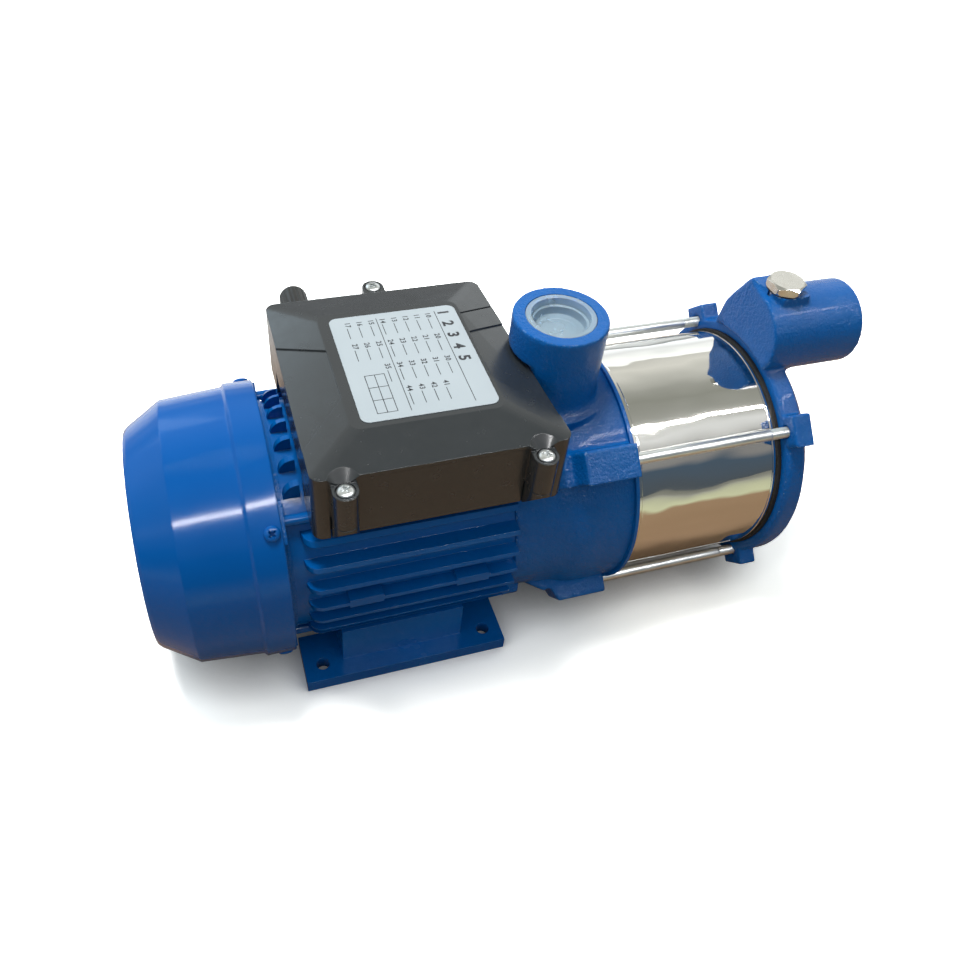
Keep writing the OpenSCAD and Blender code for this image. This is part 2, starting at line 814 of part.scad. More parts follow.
module impeller_key() color(steel)
    translate([pack_x0 + key_margin, -key_w / 2, shaft_h + key_r0])
        cube([pack_x1 - pack_x0 - 2 * key_margin, key_w, key_r1 - key_r0]);

module rotor_core() color(iron)
    ring(stack_x0, -stack_x0, rotor_seat_r, rotor_r);

module rotor_end_rings() color(zinc) {
    ring(stack_x0 - end_ring_l, stack_x0, end_ring_bore_r, end_ring_r);
    ring(-stack_x0, -stack_x0 + end_ring_l, end_ring_bore_r, end_ring_r);
}

module cooling_fan() color(black) difference() {
    union() {
        ring(fan_x0, fan_x0 + fan_l, 0, fan_hub_r);
        ring(fan_x0 + fan_l - fan_disc_t, fan_x0 + fan_l, 0, fan_d / 2 - fan_tip_step);
        for (i = [0:fan_blade_count - 1]) at_angle(i * 360 / fan_blade_count)
            translate([fan_x0, -fan_blade_t / 2, fan_hub_r - cut])
                cube([fan_l, fan_blade_t, fan_d / 2 - fan_hub_r + cut]);
    }
    ring(fan_x0 - cut, fan_x0 + fan_l + cut, 0, fan_seat_r);
}

module water_slinger() color(rubber)
    turned([[pump_shaft_r, slinger_x0], [slinger_r * 0.6, slinger_x0],
        [slinger_r, slinger_x0 + slinger_l * 0.5], [slinger_r, slinger_x0 + slinger_l * 0.75],
        [slinger_r * 0.6, slinger_x0 + slinger_l], [pump_shaft_r, slinger_x0 + slinger_l]]);

function cover_screw(i) =
    [box_x + cover_screw_shares[i][0] * box_l, cover_screw_shares[i][1] * box_w];

// Section of the base plate: flat wings and a raised middle that clears the motor frame
module hat_section(clear) {
    t = base_t + clear;
    polygon([[-box_w, base_z0 - clear], [-box_w, base_z0 + t], [-hat_in - t, base_z0 + t],
        [-hat_in - t, hat_z + t], [hat_in + t, hat_z + t], [hat_in + t, base_z0 + t],
        [box_w, base_z0 + t], [box_w, base_z0 - clear], [hat_in, base_z0 - clear],
        [hat_in, hat_z], [-hat_in, hat_z], [-hat_in, base_z0 - clear]]);
}

// Plan of the box, a little longer at the near wall than at the far one
module box_plan(inset) {
    hull() for (s = [-1, 1]) {
        translate([box_x0 + box_corner, s * (box_w / 2 - box_corner)])
            circle(r = box_corner - inset);
        translate([box_x1 - s * box_flare - box_corner, s * (box_w / 2 - box_corner)])
            circle(r = box_corner - inset);
    }
}

// Upright ears round the three cover screws, reaching in through the wall of the box
module screw_ears(r, z0, z1) {
    for (i = [0:2]) let (p = cover_screw(i), reach = abs(p[1]) - box_w / 2 + box_wall + ear_root)
        translate([p[0], p[1], z0]) {
            cylinder(r = r, h = z1 - z0);
            translate([-r, p[1] > 0 ? -reach : 0, 0]) cube([2 * r, reach, z1 - z0]);
        }
}

// What is cut away below the ears of the base, which slope back to the wall
module ear_undercuts() {
    for (i = [0:2]) let (p = cover_screw(i), s = sign(p[1]))
        translate([p[0] - lug_r - cut, 0, 0]) rotate([90, 0, 90])
            linear_extrude(2 * lug_r + 2 * cut)
                polygon([[s * box_w / 2, box_z0 - cut], [s * box_w / 2, box_z0],
                    [s * (box_w / 2 + 2 * ear_h), box_z0 + 2 * ear_h * ear_slope_share],
                    [s * (box_w / 2 + 2 * ear_h), box_z0 - cut]]);
}

module terminal_base() color(black) difference() {
    union() {
        intersection() {
            linear_extrude(box_rim_z) box_plan(box_wall + fit_gap);
            translate([box_x0, 0, 0]) rotate([90, 0, 90]) linear_extrude(box_l + box_flare)
                hat_section(0);
        }
        screw_ears(lug_r, box_z0, ear_z);
    }
    ear_undercuts();
    for (i = [0:2]) translate([cover_screw(i)[0], cover_screw(i)[1], 0])
        cylinder(d = cover_screw_d + 2 * run_gap, h = box_rim_z);
    translate([lead_hole_x, 0, 0]) cylinder(d = lead_hole_d, h = box_rim_z);
}

module base_gasket() color(rubber) difference() {
    translate([pad_x0 + gasket_margin, -pad_w / 2 + gasket_margin, pad_z])
        cube([pad_x1 - pad_x0 - 2 * gasket_margin, pad_w - 2 * gasket_margin, gasket_t]);
    translate([lead_hole_x, 0, 0]) cylinder(d = lead_hole_d, h = box_rim_z);
}

// The cover's solid form: straight walls under a roof with four slopes
module cover_form(inset, low, drop) {
    translate([0, 0, low]) linear_extrude(box_rim_z - drop - low) box_plan(inset);
    roof_form(inset, drop);
}

module roof_form(inset, drop) {
    hull() {
        translate([0, 0, box_rim_z - drop - cut]) linear_extrude(cut) box_plan(inset);
        translate([box_x, 0, box_top_z - drop - cut]) linear_extrude(cut)
            rounded(top_l, top_w, box_corner);
    }
}

// Shallow pockets in the two slopes at the ends of the box
module slope_pockets() {
    difference() {
        for (p = pocket_shares) translate([box_x, 0, box_rim_z - box_wall])
            linear_extrude(box_top_z)
                polygon([[p[0] * (box_l / 2 + box_flare + cut), p[1] * box_w],
                    [p[0] * top_l / 2, p[2] * box_w], [p[0] * top_l / 2, p[4] * box_w],
                    [p[0] * (box_l / 2 + box_flare + cut), p[3] * box_w]]);
        roof_form(0, pocket_depth);
    }
}

module terminal_cover() color(black) difference() {
    union() {
        cover_form(0, box_z0, 0);
        screw_ears(lug_r, ear_z + lug_gap, lug_top_z + lug_cup);
    }
    difference() {
        cover_form(box_wall, box_z0 - cut, box_wall);
        screw_ears(lug_r - box_wall, box_z0, box_rim_z);
    }
    slope_pockets();
    // clearance round the base, its ears and the motor under it
    translate([box_x0 - cut, 0, 0]) rotate([90, 0, 90])
        linear_extrude(box_l + box_flare + 2 * cut) intersection() {
            hat_section(fit_gap);
            translate([-hat_in - 2 * base_t, 0]) square([2 * hat_in + 4 * base_t, box_rim_z]);
        }
    translate([box_x0 - cut, -hat_in, 0])
        cube([box_l + box_flare + 2 * cut, 2 * hat_in, hat_z + cut]);
    translate([box_x0 - cut, -skirt_in, 0])
        cube([box_l + box_flare + 2 * cut, 2 * skirt_in, base_z0]);
    screw_ears(lug_r + lug_gap, box_z0 - cut, ear_z + lug_gap);
    // a cup and a sloping notch for each screw head
    for (i = [0:2]) translate([cover_screw(i)[0], cover_screw(i)[1], 0]) {
        cylinder(d = cover_screw_d + 2 * fit_gap, h = box_rim_z);
        translate([0, 0, lug_top_z]) cylinder(r = cup_r, h = lug_cup + cut);
        translate([0, 0, lug_top_z + lug_cup]) cylinder(r1 = cup_r, r2 = cup_r + notch_h, h = notch_h);
    }
    translate([cover_screw(0)[0] + lug_r, -box_w / 2 - cut, box_z0 - cut])
        cube([cover_screw(1)[0] - cover_screw(0)[0] - 2 * lug_r, near_recess + cut,
            box_rim_z - box_z0 - cut]);
    translate([gland_x, 0, gland_z]) rotate([-90, 0, 0])
        cylinder(r = gland_r + run_gap, h = box_w);
}

module cover_screws() color(zinc) {
    for (i = [0:2]) translate([cover_screw(i)[0], cover_screw(i)[1], lug_top_z]) {
        translate([0, 0, -cover_screw_l]) cylinder(d = cover_screw_d, h = cover_screw_l);
        rotate_extrude($fn = 32) polygon([[0, 0], [cover_head_d / 2, 0],
            [cover_head_d / 2, cover_head_t * 0.6], [cover_head_d * 0.42, cover_head_t * 0.88],
            [cover_head_d * 0.3, cover_head_t], [0, cover_head_t]]);
    }
}

module rating_plate() color([0.80, 0.84, 0.87])
    translate([plate_x, plate_y, box_top_z]) linear_extrude(plate_t)
        rounded(plate_l, plate_w, plate_round);

module terminal_block() color(white) difference() {
    translate([block_x - block_l / 2, block_y - block_w / 2, hat_z + base_t])
        cube([block_l, block_w, block_h]);
    for (i = [0:terminal_count - 1], s = [-1, 1])
        translate([block_x + (i - (terminal_count - 1) / 2) * block_l / terminal_count,
            block_y + s * block_w / 4, hat_z + base_t + block_h - terminal_h])
            cylinder(d = terminal_d + 2 * run_gap, h = block_h);
}

module terminal_screws() color(brass) {
    for (i = [0:terminal_count - 1], s = [-1, 1])
        translate([block_x + (i - (terminal_count - 1) / 2) * block_l / terminal_count,
            block_y + s * block_w / 4, hat_z + base_t + block_h - terminal_h])
            cylinder(d = terminal_d, h = terminal_h);
}

module run_capacitor() color(white)
    translate([0, capacitor_y, base_z0 + base_t + capacitor_d / 2 + seat_gap])
        bar_x(capacitor_x0, capacitor_x0 + capacitor_l, capacitor_d / 2);

// Local frame of the cable gland: Z points out of the far wall
module at_gland() {
    translate([gland_x, box_w / 2, gland_z]) rotate([-90, 0, 0]) children();
}

module gland_body() color(black) at_gland() difference() {
    union() {
        cylinder(d = gland_hex_af / cos(30), h = gland_hex_l, $fn = 6);
        translate([0, 0, -gland_inner_l]) cylinder(r = gland_r, h = gland_inner_l);
        translate([0, 0, gland_hex_l])
            cylinder(r = gland_seat_r + run_gap + gland_spigot_t, h = gland_seat_l - gland_hex_l);
    }
    translate([0, 0, -gland_inner_l - cut]) cylinder(r = gland_bore_r, h = gland_nut_l * 2);
    translate([0, 0, gland_hex_l]) cylinder(r = gland_seat_r, h = gland_nut_l);
}

module gland_nut() color(black) at_gland() rotate_extrude(convexity = 4) {
    top = gland_hex_l + free_gap + gland_nut_l;
    inner = gland_seat_r + run_gap + gland_spigot_t + fit_gap;
    polygon(concat([[inner, gland_hex_l + free_gap], [gland_nut_r, gland_hex_l + free_gap]],
        arc(gland_nut_r - gland_round, top - gland_round, gland_round, 0, 60, 5),
        [[gland_bore_r, top], [gland_bore_r, gland_seat_l + gland_seal_rise],
        [inner, gland_seat_l + gland_seal_rise]]));
}

module gland_seal() color(rubber) at_gland() difference() {
    translate([0, 0, gland_hex_l + seat_gap])
        cylinder(r = gland_seat_r - seat_gap,
            h = gland_seat_l + gland_seal_rise - gland_hex_l - 2 * seat_gap);
    translate([0, 0, -cut]) cylinder(r = gland_bore_r, h = gland_nut_l);
}

module gland_locknut() color(black) at_gland() difference() {
    translate([0, 0, -box_wall - seat_gap - locknut_t])
        cylinder(d = locknut_af / cos(30), h = locknut_t, $fn = 6);
    translate([0, 0, -gland_nut_l]) cylinder(r = gland_r + run_gap, h = gland_nut_l);
}

// Casting lug for a tie rod, drawn in the plane through the shaft and the rod
module bracket_lug() {
    translate([0, lug_w / 2, 0]) rotate([90, 0, 0]) linear_extrude(lug_w)
        polygon([[lug_tail_x - lug_toe_l, lug_root_r], [lug_tail_x, lug_root_r + lug_toe_rise],
            [lug_step_x - lug_step_l, lug_tail_r], [lug_step_x, lug_tail_r - lug_dip],
            [lug_step_x + lug_step_l, lug_flat_r], [lug_x1, lug_flat_r], [lug_x1, lug_root_r]]);
}

module bracket_outside() {
    turned([[0, bracket_x0 - spigot_l], [stator_r - seat_gap, bracket_x0 - spigot_l],
        [stator_r - seat_gap, bracket_x0], [drum_rear_r, bracket_x0],
        [drum_mid_r, valley_x - valley_l], [drum_mid_r + valley_rise, valley_x],
        [drum_front_r - shoulder_round, valley_x + valley_l],
        [drum_front_r, valley_x + 2 * valley_l], [drum_front_r, bracket_x1 - rim_edge_l],
        [drum_front_r - rim_edge_drop, bracket_x1],
        [sleeve_r + gasket_ring_t + seat_gap, bracket_x1],
        [sleeve_r + gasket_ring_t + seat_gap, bracket_x1 - groove_depth],
        [sleeve_in_r - seat_gap, bracket_x1 - groove_depth],
        [sleeve_in_r - seat_gap, nose_x], [0, nose_x]]);
    for (a = tie_angles) at_angle(a) {
        bracket_lug();
        translate([0, 0, bolt_circle_r]) bar_x(bracket_x0 + fit_gap, tie_ear_x1, tie_ear_r);
    }
    difference() {
        translate([port_x, 0, port_base_z]) rotate_extrude() {
            h = port_z - port_base_z;
            y0 = drum_mid_r + shaft_h - port_base_z;
            polygon(concat([[0, 0], [port_r + port_fillet, 0], [port_r + port_fillet, y0]],
                arc(port_r + port_fillet, y0 + port_fillet, port_fillet, 270, 180, 5),
                [[port_r, h], [0, h]]));
        }
        translate([port_x - port_d, -port_d, port_base_z - cut])
            cube([port_d + box_x1 + port_flat_gap - port_x, 2 * port_d,
                port_flat_z - port_base_z + cut]);
    }
}

module pump_bracket() color(blue) difference() {
    bracket_outside();
    ring(bracket_x0 - spigot_l - cut, front_bearing_x0 + front_bearing_w, 0,
        front_bearing_r1 + seat_gap);
    turned([[relief_r0, bracket_x0 - spigot_l - cut], [relief_r1, bracket_x0 - spigot_l - cut],
        [relief_r1, relief_x1], [relief_r0, relief_x1]]);
    ring(bracket_x0, slinger_x0, 0, front_bearing_r1 - bearing_lip);
    ring(slinger_x0 - lantern_rear_gap, lantern_x1, 0, lantern_r);
    ring(bracket_x1 - groove_depth, bracket_x1 + cut, sleeve_in_r - seat_gap,
        sleeve_r + gasket_ring_t + seat_gap);
    turned([[duct_r, chamber_x0], [chamber_r, chamber_x0], [chamber_r, nose_x + cut],
        [0, nose_x + cut], [0, seal_hub_x], [seal_hub_r, seal_hub_x],
        [seal_hub_r, seal_wall_x], [duct_r, seal_wall_x]]);
    ring(lantern_x1 - cut, seal_hub_x, 0, pump_shaft_r + shaft_clearance);
    ring(seal_seat_x0 - seat_gap, seal_hub_x + cut, 0, seat_r + seat_gap);
    translate([port_x, 0, shaft_h + duct_r + duct_step]) cylinder(r = waterway_r, h = port_z);
    translate([port_x, 0, cap_seat_z - thread_l]) cylinder(r = thread_r, h = port_z);
    translate([port_x, 0, cap_seat_z]) cylinder(r = cap_skirt_r + cap_gap, h = port_z);
    translate([port_x, 0, port_z - cap_rim_t - cap_gap])
        cylinder(r = cap_rim_r + cap_gap, h = port_z);
    for (a = tie_angles) at_angle(a) {
        translate([0, 0, rod_circle_r])
            bar_x(lug_x1 - rod_blind - cut, lug_x1 + cut, rod_d / 2 + run_gap);
        translate([0, 0, bolt_circle_r])
            bar_x(bracket_x0 - cut, bracket_x0 + bolt_grip + cut, bolt_d / 2 + run_gap);
    }
}

module pump_sleeve() color(steel)
    ring(bracket_x1 - groove_depth, casing_x0 + casing_groove, sleeve_in_r, sleeve_r);

module rear_sleeve_gasket() color(rubber)
    ring(bracket_x1 - groove_depth, bracket_x1 + gasket_show, sleeve_r, sleeve_r + gasket_ring_t);

module front_sleeve_gasket() color(rubber)
    ring(casing_x0 - gasket_show, casing_x0 + casing_groove, sleeve_r, sleeve_r + gasket_ring_t);

// The neck that carries the water from the suction port down to the first stage. It
// bulges out on the far side and leans over the flange towards the port.
module neck() {
    hull() {
        translate([casing_x0, 0, 0]) rotate([90, 0, 90]) linear_extrude(neck_t)
            neck_section(neck_low_shares);
        translate([casing_x0 - neck_lean, 0, 0]) rotate([90, 0, 90])
            linear_extrude(neck_t + neck_lean) neck_section(neck_high_shares);
        translate([0, 0, suction_z])
            bar_x(casing_x0 - neck_lean, casing_x0 + suction_root_l, suction_r, $fn = 32);
    }
}

module neck_section(shares) {
    polygon([for (p = shares) [p[0] * suction_d, shaft_h + p[1] * (suction_z - shaft_h)]]);
}

module suction_outside() {
    turned([[0, pack_x1], [sleeve_in_r - seat_gap, pack_x1],
        [sleeve_in_r - seat_gap, casing_x0 + casing_groove],
        [sleeve_r + gasket_ring_t + seat_gap, casing_x0 + casing_groove],
        [sleeve_r + gasket_ring_t + seat_gap, casing_x0], [casing_r - casing_edge, casing_x0],
        [casing_r, casing_x0 + casing_edge], [casing_r, casing_x0 + casing_rim_l],
        [casing_r - casing_taper, dome_shoulder_x - dome_round],
        [dome_shoulder_r, dome_shoulder_x], [dome_face_r + dome_round, casing_x1 - casing_edge],
        [dome_face_r, casing_x1], [0, casing_x1]]);
    neck();
    translate([0, 0, suction_z]) bar_x(casing_x0, suction_x1, suction_r);
    translate([filler_x, 0, suction_z]) linear_extrude(filler_z - suction_z)
        polygon([for (p = filler_pad_shares) p * filler_d]);
    for (a = tie_angles) at_angle(a)
        translate([casing_x0, -casing_lug_w / 2, dome_face_r])
            cube([casing_lug_l, casing_lug_w, casing_lug_flat_r - dome_face_r]);
    translate([0, 0, drain_z]) bar_x(casing_x1 - cut, casing_x1 + drain_boss_t, drain_boss_r);
}

module suction_casing() color(blue) difference() {
    suction_outside();
    ring(casing_x0 - neck_lean - cut, casing_x0, sleeve_in_r - seat_gap, casing_r);
    ring(pack_x1 - cut, casing_x1 - casing_wall, 0, casing_chamber_r);
    ring(casing_x0 - cut, casing_x0 + casing_groove, sleeve_in_r - seat_gap,
        sleeve_r + gasket_ring_t + seat_gap);
    translate([duct_x0, -duct_w / 2, shaft_h + casing_chamber_r / 2])
        cube([duct_l, duct_w, suction_z - shaft_h - casing_chamber_r / 2]);
    translate([0, 0, suction_z]) {
        bar_x(suction_x1 - thread_l, suction_x1 + cut, thread_r);
        bar_x(duct_x0, suction_x1, waterway_r);
    }
    translate([filler_x, 0, suction_z]) cylinder(r = filler_r + run_gap, h = suction_z);
    translate([0, 0, drain_z])
        bar_x(casing_x1 - casing_wall - cut, casing_x1 + drain_boss_t + cut, drain_r + run_gap);
    for (a = tie_angles) at_angle(a) translate([0, 0, rod_circle_r]) {
        bar_x(casing_x0 - cut, casing_x1, rod_d / 2 + fit_gap);
        bar_x(casing_x0 + rod_seat_l, casing_x1, rod_washer_r + free_gap);
    }
}

module tie_rods() color(zinc) {
    for (a = tie_angles) at_angle(a) translate([0, 0, rod_circle_r])
        bar_x(lug_x1 - rod_blind, casing_x0 + rod_seat_l + rod_washer_t + rod_nut_t + rod_end,
            rod_d / 2);
}

module tie_rod_nuts() color(zinc) {
    x0 = casing_x0 + rod_seat_l + rod_washer_t;
    for (a = tie_angles) at_angle(a) translate([0, 0, rod_circle_r]) difference() {
        hex_x(x0, x0 + rod_nut_t, rod_nut_af);
        bar_x(x0 - cut, x0 + rod_nut_t + cut, rod_d / 2);
    }
}

module tie_rod_washers() color(zinc) {
    x0 = casing_x0 + rod_seat_l;
    for (a = tie_angles) at_angle(a) translate([0, 0, rod_circle_r]) difference() {
        bar_x(x0, x0 + rod_washer_t, rod_washer_r);
        bar_x(x0 - cut, x0 + rod_washer_t + cut, rod_d / 2);
    }
}

module seal_seat() color(white)
    ring(seal_seat_x0, seal_seat_x0 + seal_seat_l, pump_shaft_r + shaft_clearance, seat_r);

module seal_face_ring() color(black)
    ring(seal_seat_x0 + seal_seat_l + run_gap, seal_seat_x0 + seal_seat_l + seal_ring_l,
        pump_shaft_r, seal_ring_r);

module seal_bellows() color(rubber) {
    x0 = seal_seat_x0 + seal_seat_l + seal_ring_l;
    ring(x0, x0 + bellows_l, pump_shaft_r, bellows_r);
}

// One unbroken coil from the face ring to the hub of the last impeller
module seal_spring() color(zinc) {
    x0 = seal_seat_x0 + seal_seat_l + seal_ring_l + spring_wire_r + run_gap;
    x1 = pack_x0 - spring_wire_r - run_gap;
    n = spring_turns * spring_steps;
    points = [for (i = [0:n], k = [0:spring_sides - 1])
        let (a = i * 360 / spring_steps, b = k * 360 / spring_sides,
            r = spring_centre_r + spring_wire_r * cos(b))
        [x0 + (x1 - x0) * i / n + spring_wire_r * sin(b), r * sin(a), r * cos(a)]];
    sides = [for (i = [0:n - 1], k = [0:spring_sides - 1])
        let (p = i * spring_sides + k, q = i * spring_sides + (k + 1) % spring_sides)
        each [[p, q + spring_sides, q], [p, p + spring_sides, q + spring_sides]]];
    ends = [[for (k = [0:spring_sides - 1]) k], [for (k = [spring_sides - 1:-1:0]) n * spring_sides + k]];
    translate([0, 0, shaft_h]) polyhedron(points, concat(sides, ends));
}

// The backward curved outline of one impeller blade
function blade_line(t) = [for (i = [0:blade_steps])
    let (s = i / blade_steps, r = blade_r0 + (impeller_d / 2 - cut - blade_r0) * s,
        a = blade_sweep * s)
    [r * cos(a) + t * sin(a), r * sin(a) - t * cos(a)]];

module blade() {
    polygon(concat(blade_line(-blade_t / 2),
        [for (i = [blade_steps:-1:0]) blade_line(blade_t / 2)[i]]));
}

module impeller(stage) {
    x1 = pack_x1 - (stage - 1) * stage_pitch;
    face = x1 - stage_plate_t - impeller_gap;
    back = face - impeller_l;
    difference() {
        union() {
            ring(back, back + shroud_t, 0, impeller_d / 2);
            ring(face - shroud_t, face, eye_r, impeller_d / 2);
            ring(face - shroud_t, x1 - eye_gap, eye_r, eye_hole_r - eye_gap);
            ring(x1 - stage_pitch, x1, 0, hub_r);
            translate([back + shroud_t / 2, 0, shaft_h]) rotate([0, 90, 0])
                for (k = [0:blade_count - 1]) rotate([0, 0, k * 360 / blade_count])
                    linear_extrude(impeller_l - shroud_t) blade();
        }
        ring(x1 - stage_pitch - cut, x1 + cut, 0, pump_shaft_r);
        key_slot();
    }
}

module diffuser(stage) {
    x1 = pack_x1 - (stage - 1) * stage_pitch;
    wall_x1 = x1 - stage_plate_t - impeller_l - 2 * impeller_gap;
    union() {
        ring(x1 - stage_pitch, x1, stage_r - stage_wall, stage_r);
        ring(x1 - stage_plate_t, x1, eye_hole_r, stage_r);
        ring(wall_x1 - stage_plate_t, wall_x1, hub_r + eye_gap, mid_wall_r);
        for (k = [0:vane_count - 1]) at_angle(k * 360 / vane_count)
            translate([x1 - stage_pitch, -vane_t / 2, eye_hole_r])
                cube([wall_x1 - x1 + stage_pitch, vane_t, stage_r - stage_wall / 2 - eye_hole_r]);
    }
}

module impeller_1() color(noryl) impeller(1);
module impeller_2() color(noryl) impeller(2);
module impeller_3() color(noryl) impeller(3);
module impeller_4() color(noryl) impeller(4);
module diffuser_1() color(white) diffuser(1);
module diffuser_2() color(white) diffuser(2);
module diffuser_3() color(white) diffuser(3);
module diffuser_4() color(white) diffuser(4);

module impeller_nut() color(zinc) translate([0, 0, shaft_h]) difference() {
    hex_x(pack_x1, pack_x1 + nut_l, nut_af);
    bar_x(pack_x1 - cut, pack_x1 + nut_l + cut, tail_r);
}

// A hexagon head with chamfered corners, standing up along Z
module plug_head(af, t) {
    intersection() {
        cylinder(d = af / cos(30), h = t, $fn = 6);
        rotate_extrude() polygon([[0, 0], [af / 2 + plug_chamfer / 2, 0],
            [af / 2 + plug_chamfer, plug_chamfer], [af / 2 + plug_chamfer, t - plug_chamfer],
            [af / 2 - plug_chamfer / 2, t], [0, t]]);
    }
}

module filler_plug() color(zinc) translate([filler_x, 0, filler_z]) {
    translate([0, 0, -filler_shank_l]) cylinder(r = filler_r, h = filler_shank_l + filler_washer_t);
    translate([0, 0, filler_washer_t]) rotate([0, 0, filler_angle])
        plug_head(filler_af, filler_head_t);
}

module filler_washer() color(rubber) translate([filler_x, 0, filler_z]) difference() {
    cylinder(r = filler_washer_r, h = filler_washer_t);
    translate([0, 0, -cut]) cylinder(r = filler_r + run_gap, h = filler_washer_t + 2 * cut);
}

module at_drain() {
    translate([casing_x1 + drain_boss_t, 0, drain_z]) rotate([0, 90, 0]) children();
}

module drain_plug() color(zinc) at_drain() {
    translate([0, 0, -drain_shank_l]) cylinder(r = drain_r, h = drain_shank_l + drain_washer_t);
    translate([0, 0, drain_washer_t]) plug_head(drain_af, drain_head_t);
}

module drain_washer() color(rubber) at_drain() difference() {
    cylinder(r = drain_washer_r, h = drain_washer_t);
    translate([0, 0, -cut]) cylinder(r = drain_r + run_gap, h = drain_washer_t + 2 * cut);
}

// The cup that closes the discharge port for transport
module discharge_cap() color(white) translate([port_x, 0, port_z - cap_depth]) rotate_extrude()
    polygon([[0, 0], [cap_skirt_r, 0], [cap_skirt_r, cap_depth - cap_rim_t],
        [cap_rim_r, cap_depth - cap_rim_t], [cap_rim_r, cap_depth],
        [cap_skirt_r - cap_wall * 0.7, cap_depth], [cap_skirt_r - cap_wall, cap_depth - cap_step_z],
        [cap_skirt_r - 2 * cap_wall, cap_depth - cap_step_z],
        [cap_skirt_r - 2.3 * cap_wall, cap_wall], [0, cap_wall]]);

motor_frame();
rear_end_shield();
fan_cowl();
cowl_screws();
motor_tie_bolts();
stator_core();
stator_windings();
rear_bearing_outer_ring();
rear_bearing_inner_ring();
rear_bearing_balls();
rear_bearing_cage();
front_bearing_outer_ring();
front_bearing_inner_ring();
front_bearing_balls();
front_bearing_cage();
wave_washer();
rotor_shaft();
rotor_core();
rotor_end_rings();
cooling_fan();
water_slinger();
terminal_base();
base_gasket();
terminal_cover();
cover_screws();
rating_plate();
terminal_block();
terminal_screws();
run_capacitor();
gland_body();
gland_nut();
gland_seal();
gland_locknut();
pump_bracket();
pump_sleeve();
rear_sleeve_gasket();
front_sleeve_gasket();
suction_casing();
tie_rods();
tie_rod_nuts();
tie_rod_washers();
seal_seat();
seal_face_ring();
seal_bellows();
seal_spring();
impeller_key();
impeller_1();
impeller_2();
impeller_3();
impeller_4();
diffuser_1();
diffuser_2();
diffuser_3();
diffuser_4();
impeller_nut();
filler_plug();
filler_washer();
drain_plug();
drain_washer();
discharge_cap();
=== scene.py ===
"""Looks of a horizontal multistage surface pump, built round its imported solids.

All lengths are in metres in the part's frame: X runs along the shaft towards the
suction port, Z is up, and the origin is the centre of the foot bolt pattern.
"""
import math

import bmesh
import bpy
import numpy as np
from mathutils import Matrix, Vector


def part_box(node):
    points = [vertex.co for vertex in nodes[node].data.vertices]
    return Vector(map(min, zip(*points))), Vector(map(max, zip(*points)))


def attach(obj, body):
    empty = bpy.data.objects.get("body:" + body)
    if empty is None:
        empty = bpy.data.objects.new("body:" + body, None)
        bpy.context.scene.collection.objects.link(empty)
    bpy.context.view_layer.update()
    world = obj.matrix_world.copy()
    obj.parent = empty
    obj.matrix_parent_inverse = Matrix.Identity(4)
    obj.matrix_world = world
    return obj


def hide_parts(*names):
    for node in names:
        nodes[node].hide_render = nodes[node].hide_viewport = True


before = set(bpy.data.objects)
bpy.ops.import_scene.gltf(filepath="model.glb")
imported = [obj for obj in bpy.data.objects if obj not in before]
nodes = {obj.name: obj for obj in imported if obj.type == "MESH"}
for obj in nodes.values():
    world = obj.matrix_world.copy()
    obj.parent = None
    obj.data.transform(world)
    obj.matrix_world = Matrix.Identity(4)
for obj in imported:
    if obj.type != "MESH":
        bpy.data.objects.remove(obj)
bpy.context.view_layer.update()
scene = bpy.context.scene
MM = 0.001

# Places that the solids give
CAP_LOW, CAP_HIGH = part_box("discharge_cap")
PORT_X = (CAP_LOW.x + CAP_HIGH.x) / 2
PORT_Z = CAP_HIGH.z
SLEEVE_LOW, SLEEVE_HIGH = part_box("pump_sleeve")
SLEEVE_R = (SLEEVE_HIGH.y - SLEEVE_LOW.y) / 2
SHAFT_Z = (SLEEVE_HIGH.z + SLEEVE_LOW.z) / 2
SHAFT = (0, 0, SHAFT_Z)
PLATE_LOW, PLATE_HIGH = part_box("rating_plate")
SUCTION_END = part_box("suction_casing")[1].x

# Sizes that the solids share with the pieces here
SUCTION_Z = 149.4 * MM  # height of the suction port's axis
BORE_R = 15.15 * MM  # inner radius of both port threads
THREAD_L = 18 * MM  # length of both port threads
PORT_R = 23.7 * MM  # outer radius of the discharge port
CAP_SEAT_R = 17.56 * MM  # step in the discharge port that holds the cap's rim
CAP_SKIRT_SEAT_R = 15.6 * MM  # bore round the cap's skirt
CAP_SEAT_L = 9.8 * MM  # depth of the cap's seat
SPIGOT_END = 55.5 * MM  # the bracket's spigot in the motor frame lies behind this
BRACKET_FACE = 118.5 * MM  # front face of the bracket
CASING_FACE = 203.5 * MM  # rear face of the suction casing
GASKET_R = 64.1 * MM  # outer radius of the sleeve's gaskets
CASING_R = 69.5 * MM  # outer radius of the suction casing at the sleeve
FILLER_X = 212.2 * MM  # axis of the filler plug
FILLER_Z = 174.8 * MM  # height of the filler plug's flat
ROD_CIRCLE = 68.8 * MM  # radius of the circle that the rods stand on
ROD_R = 3 * MM
ALONG_X = (1, 0, 0)
ALONG_Y = (0, 1, 0)
UP = (0, 0, 1)


# Materials
def new_material(name):
    """A material with its node tree and its shader node."""
    mat = bpy.data.materials.new(name)
    mat.use_nodes = True
    shader = mat.node_tree.nodes["Principled BSDF"]
    return mat, mat.node_tree, shader


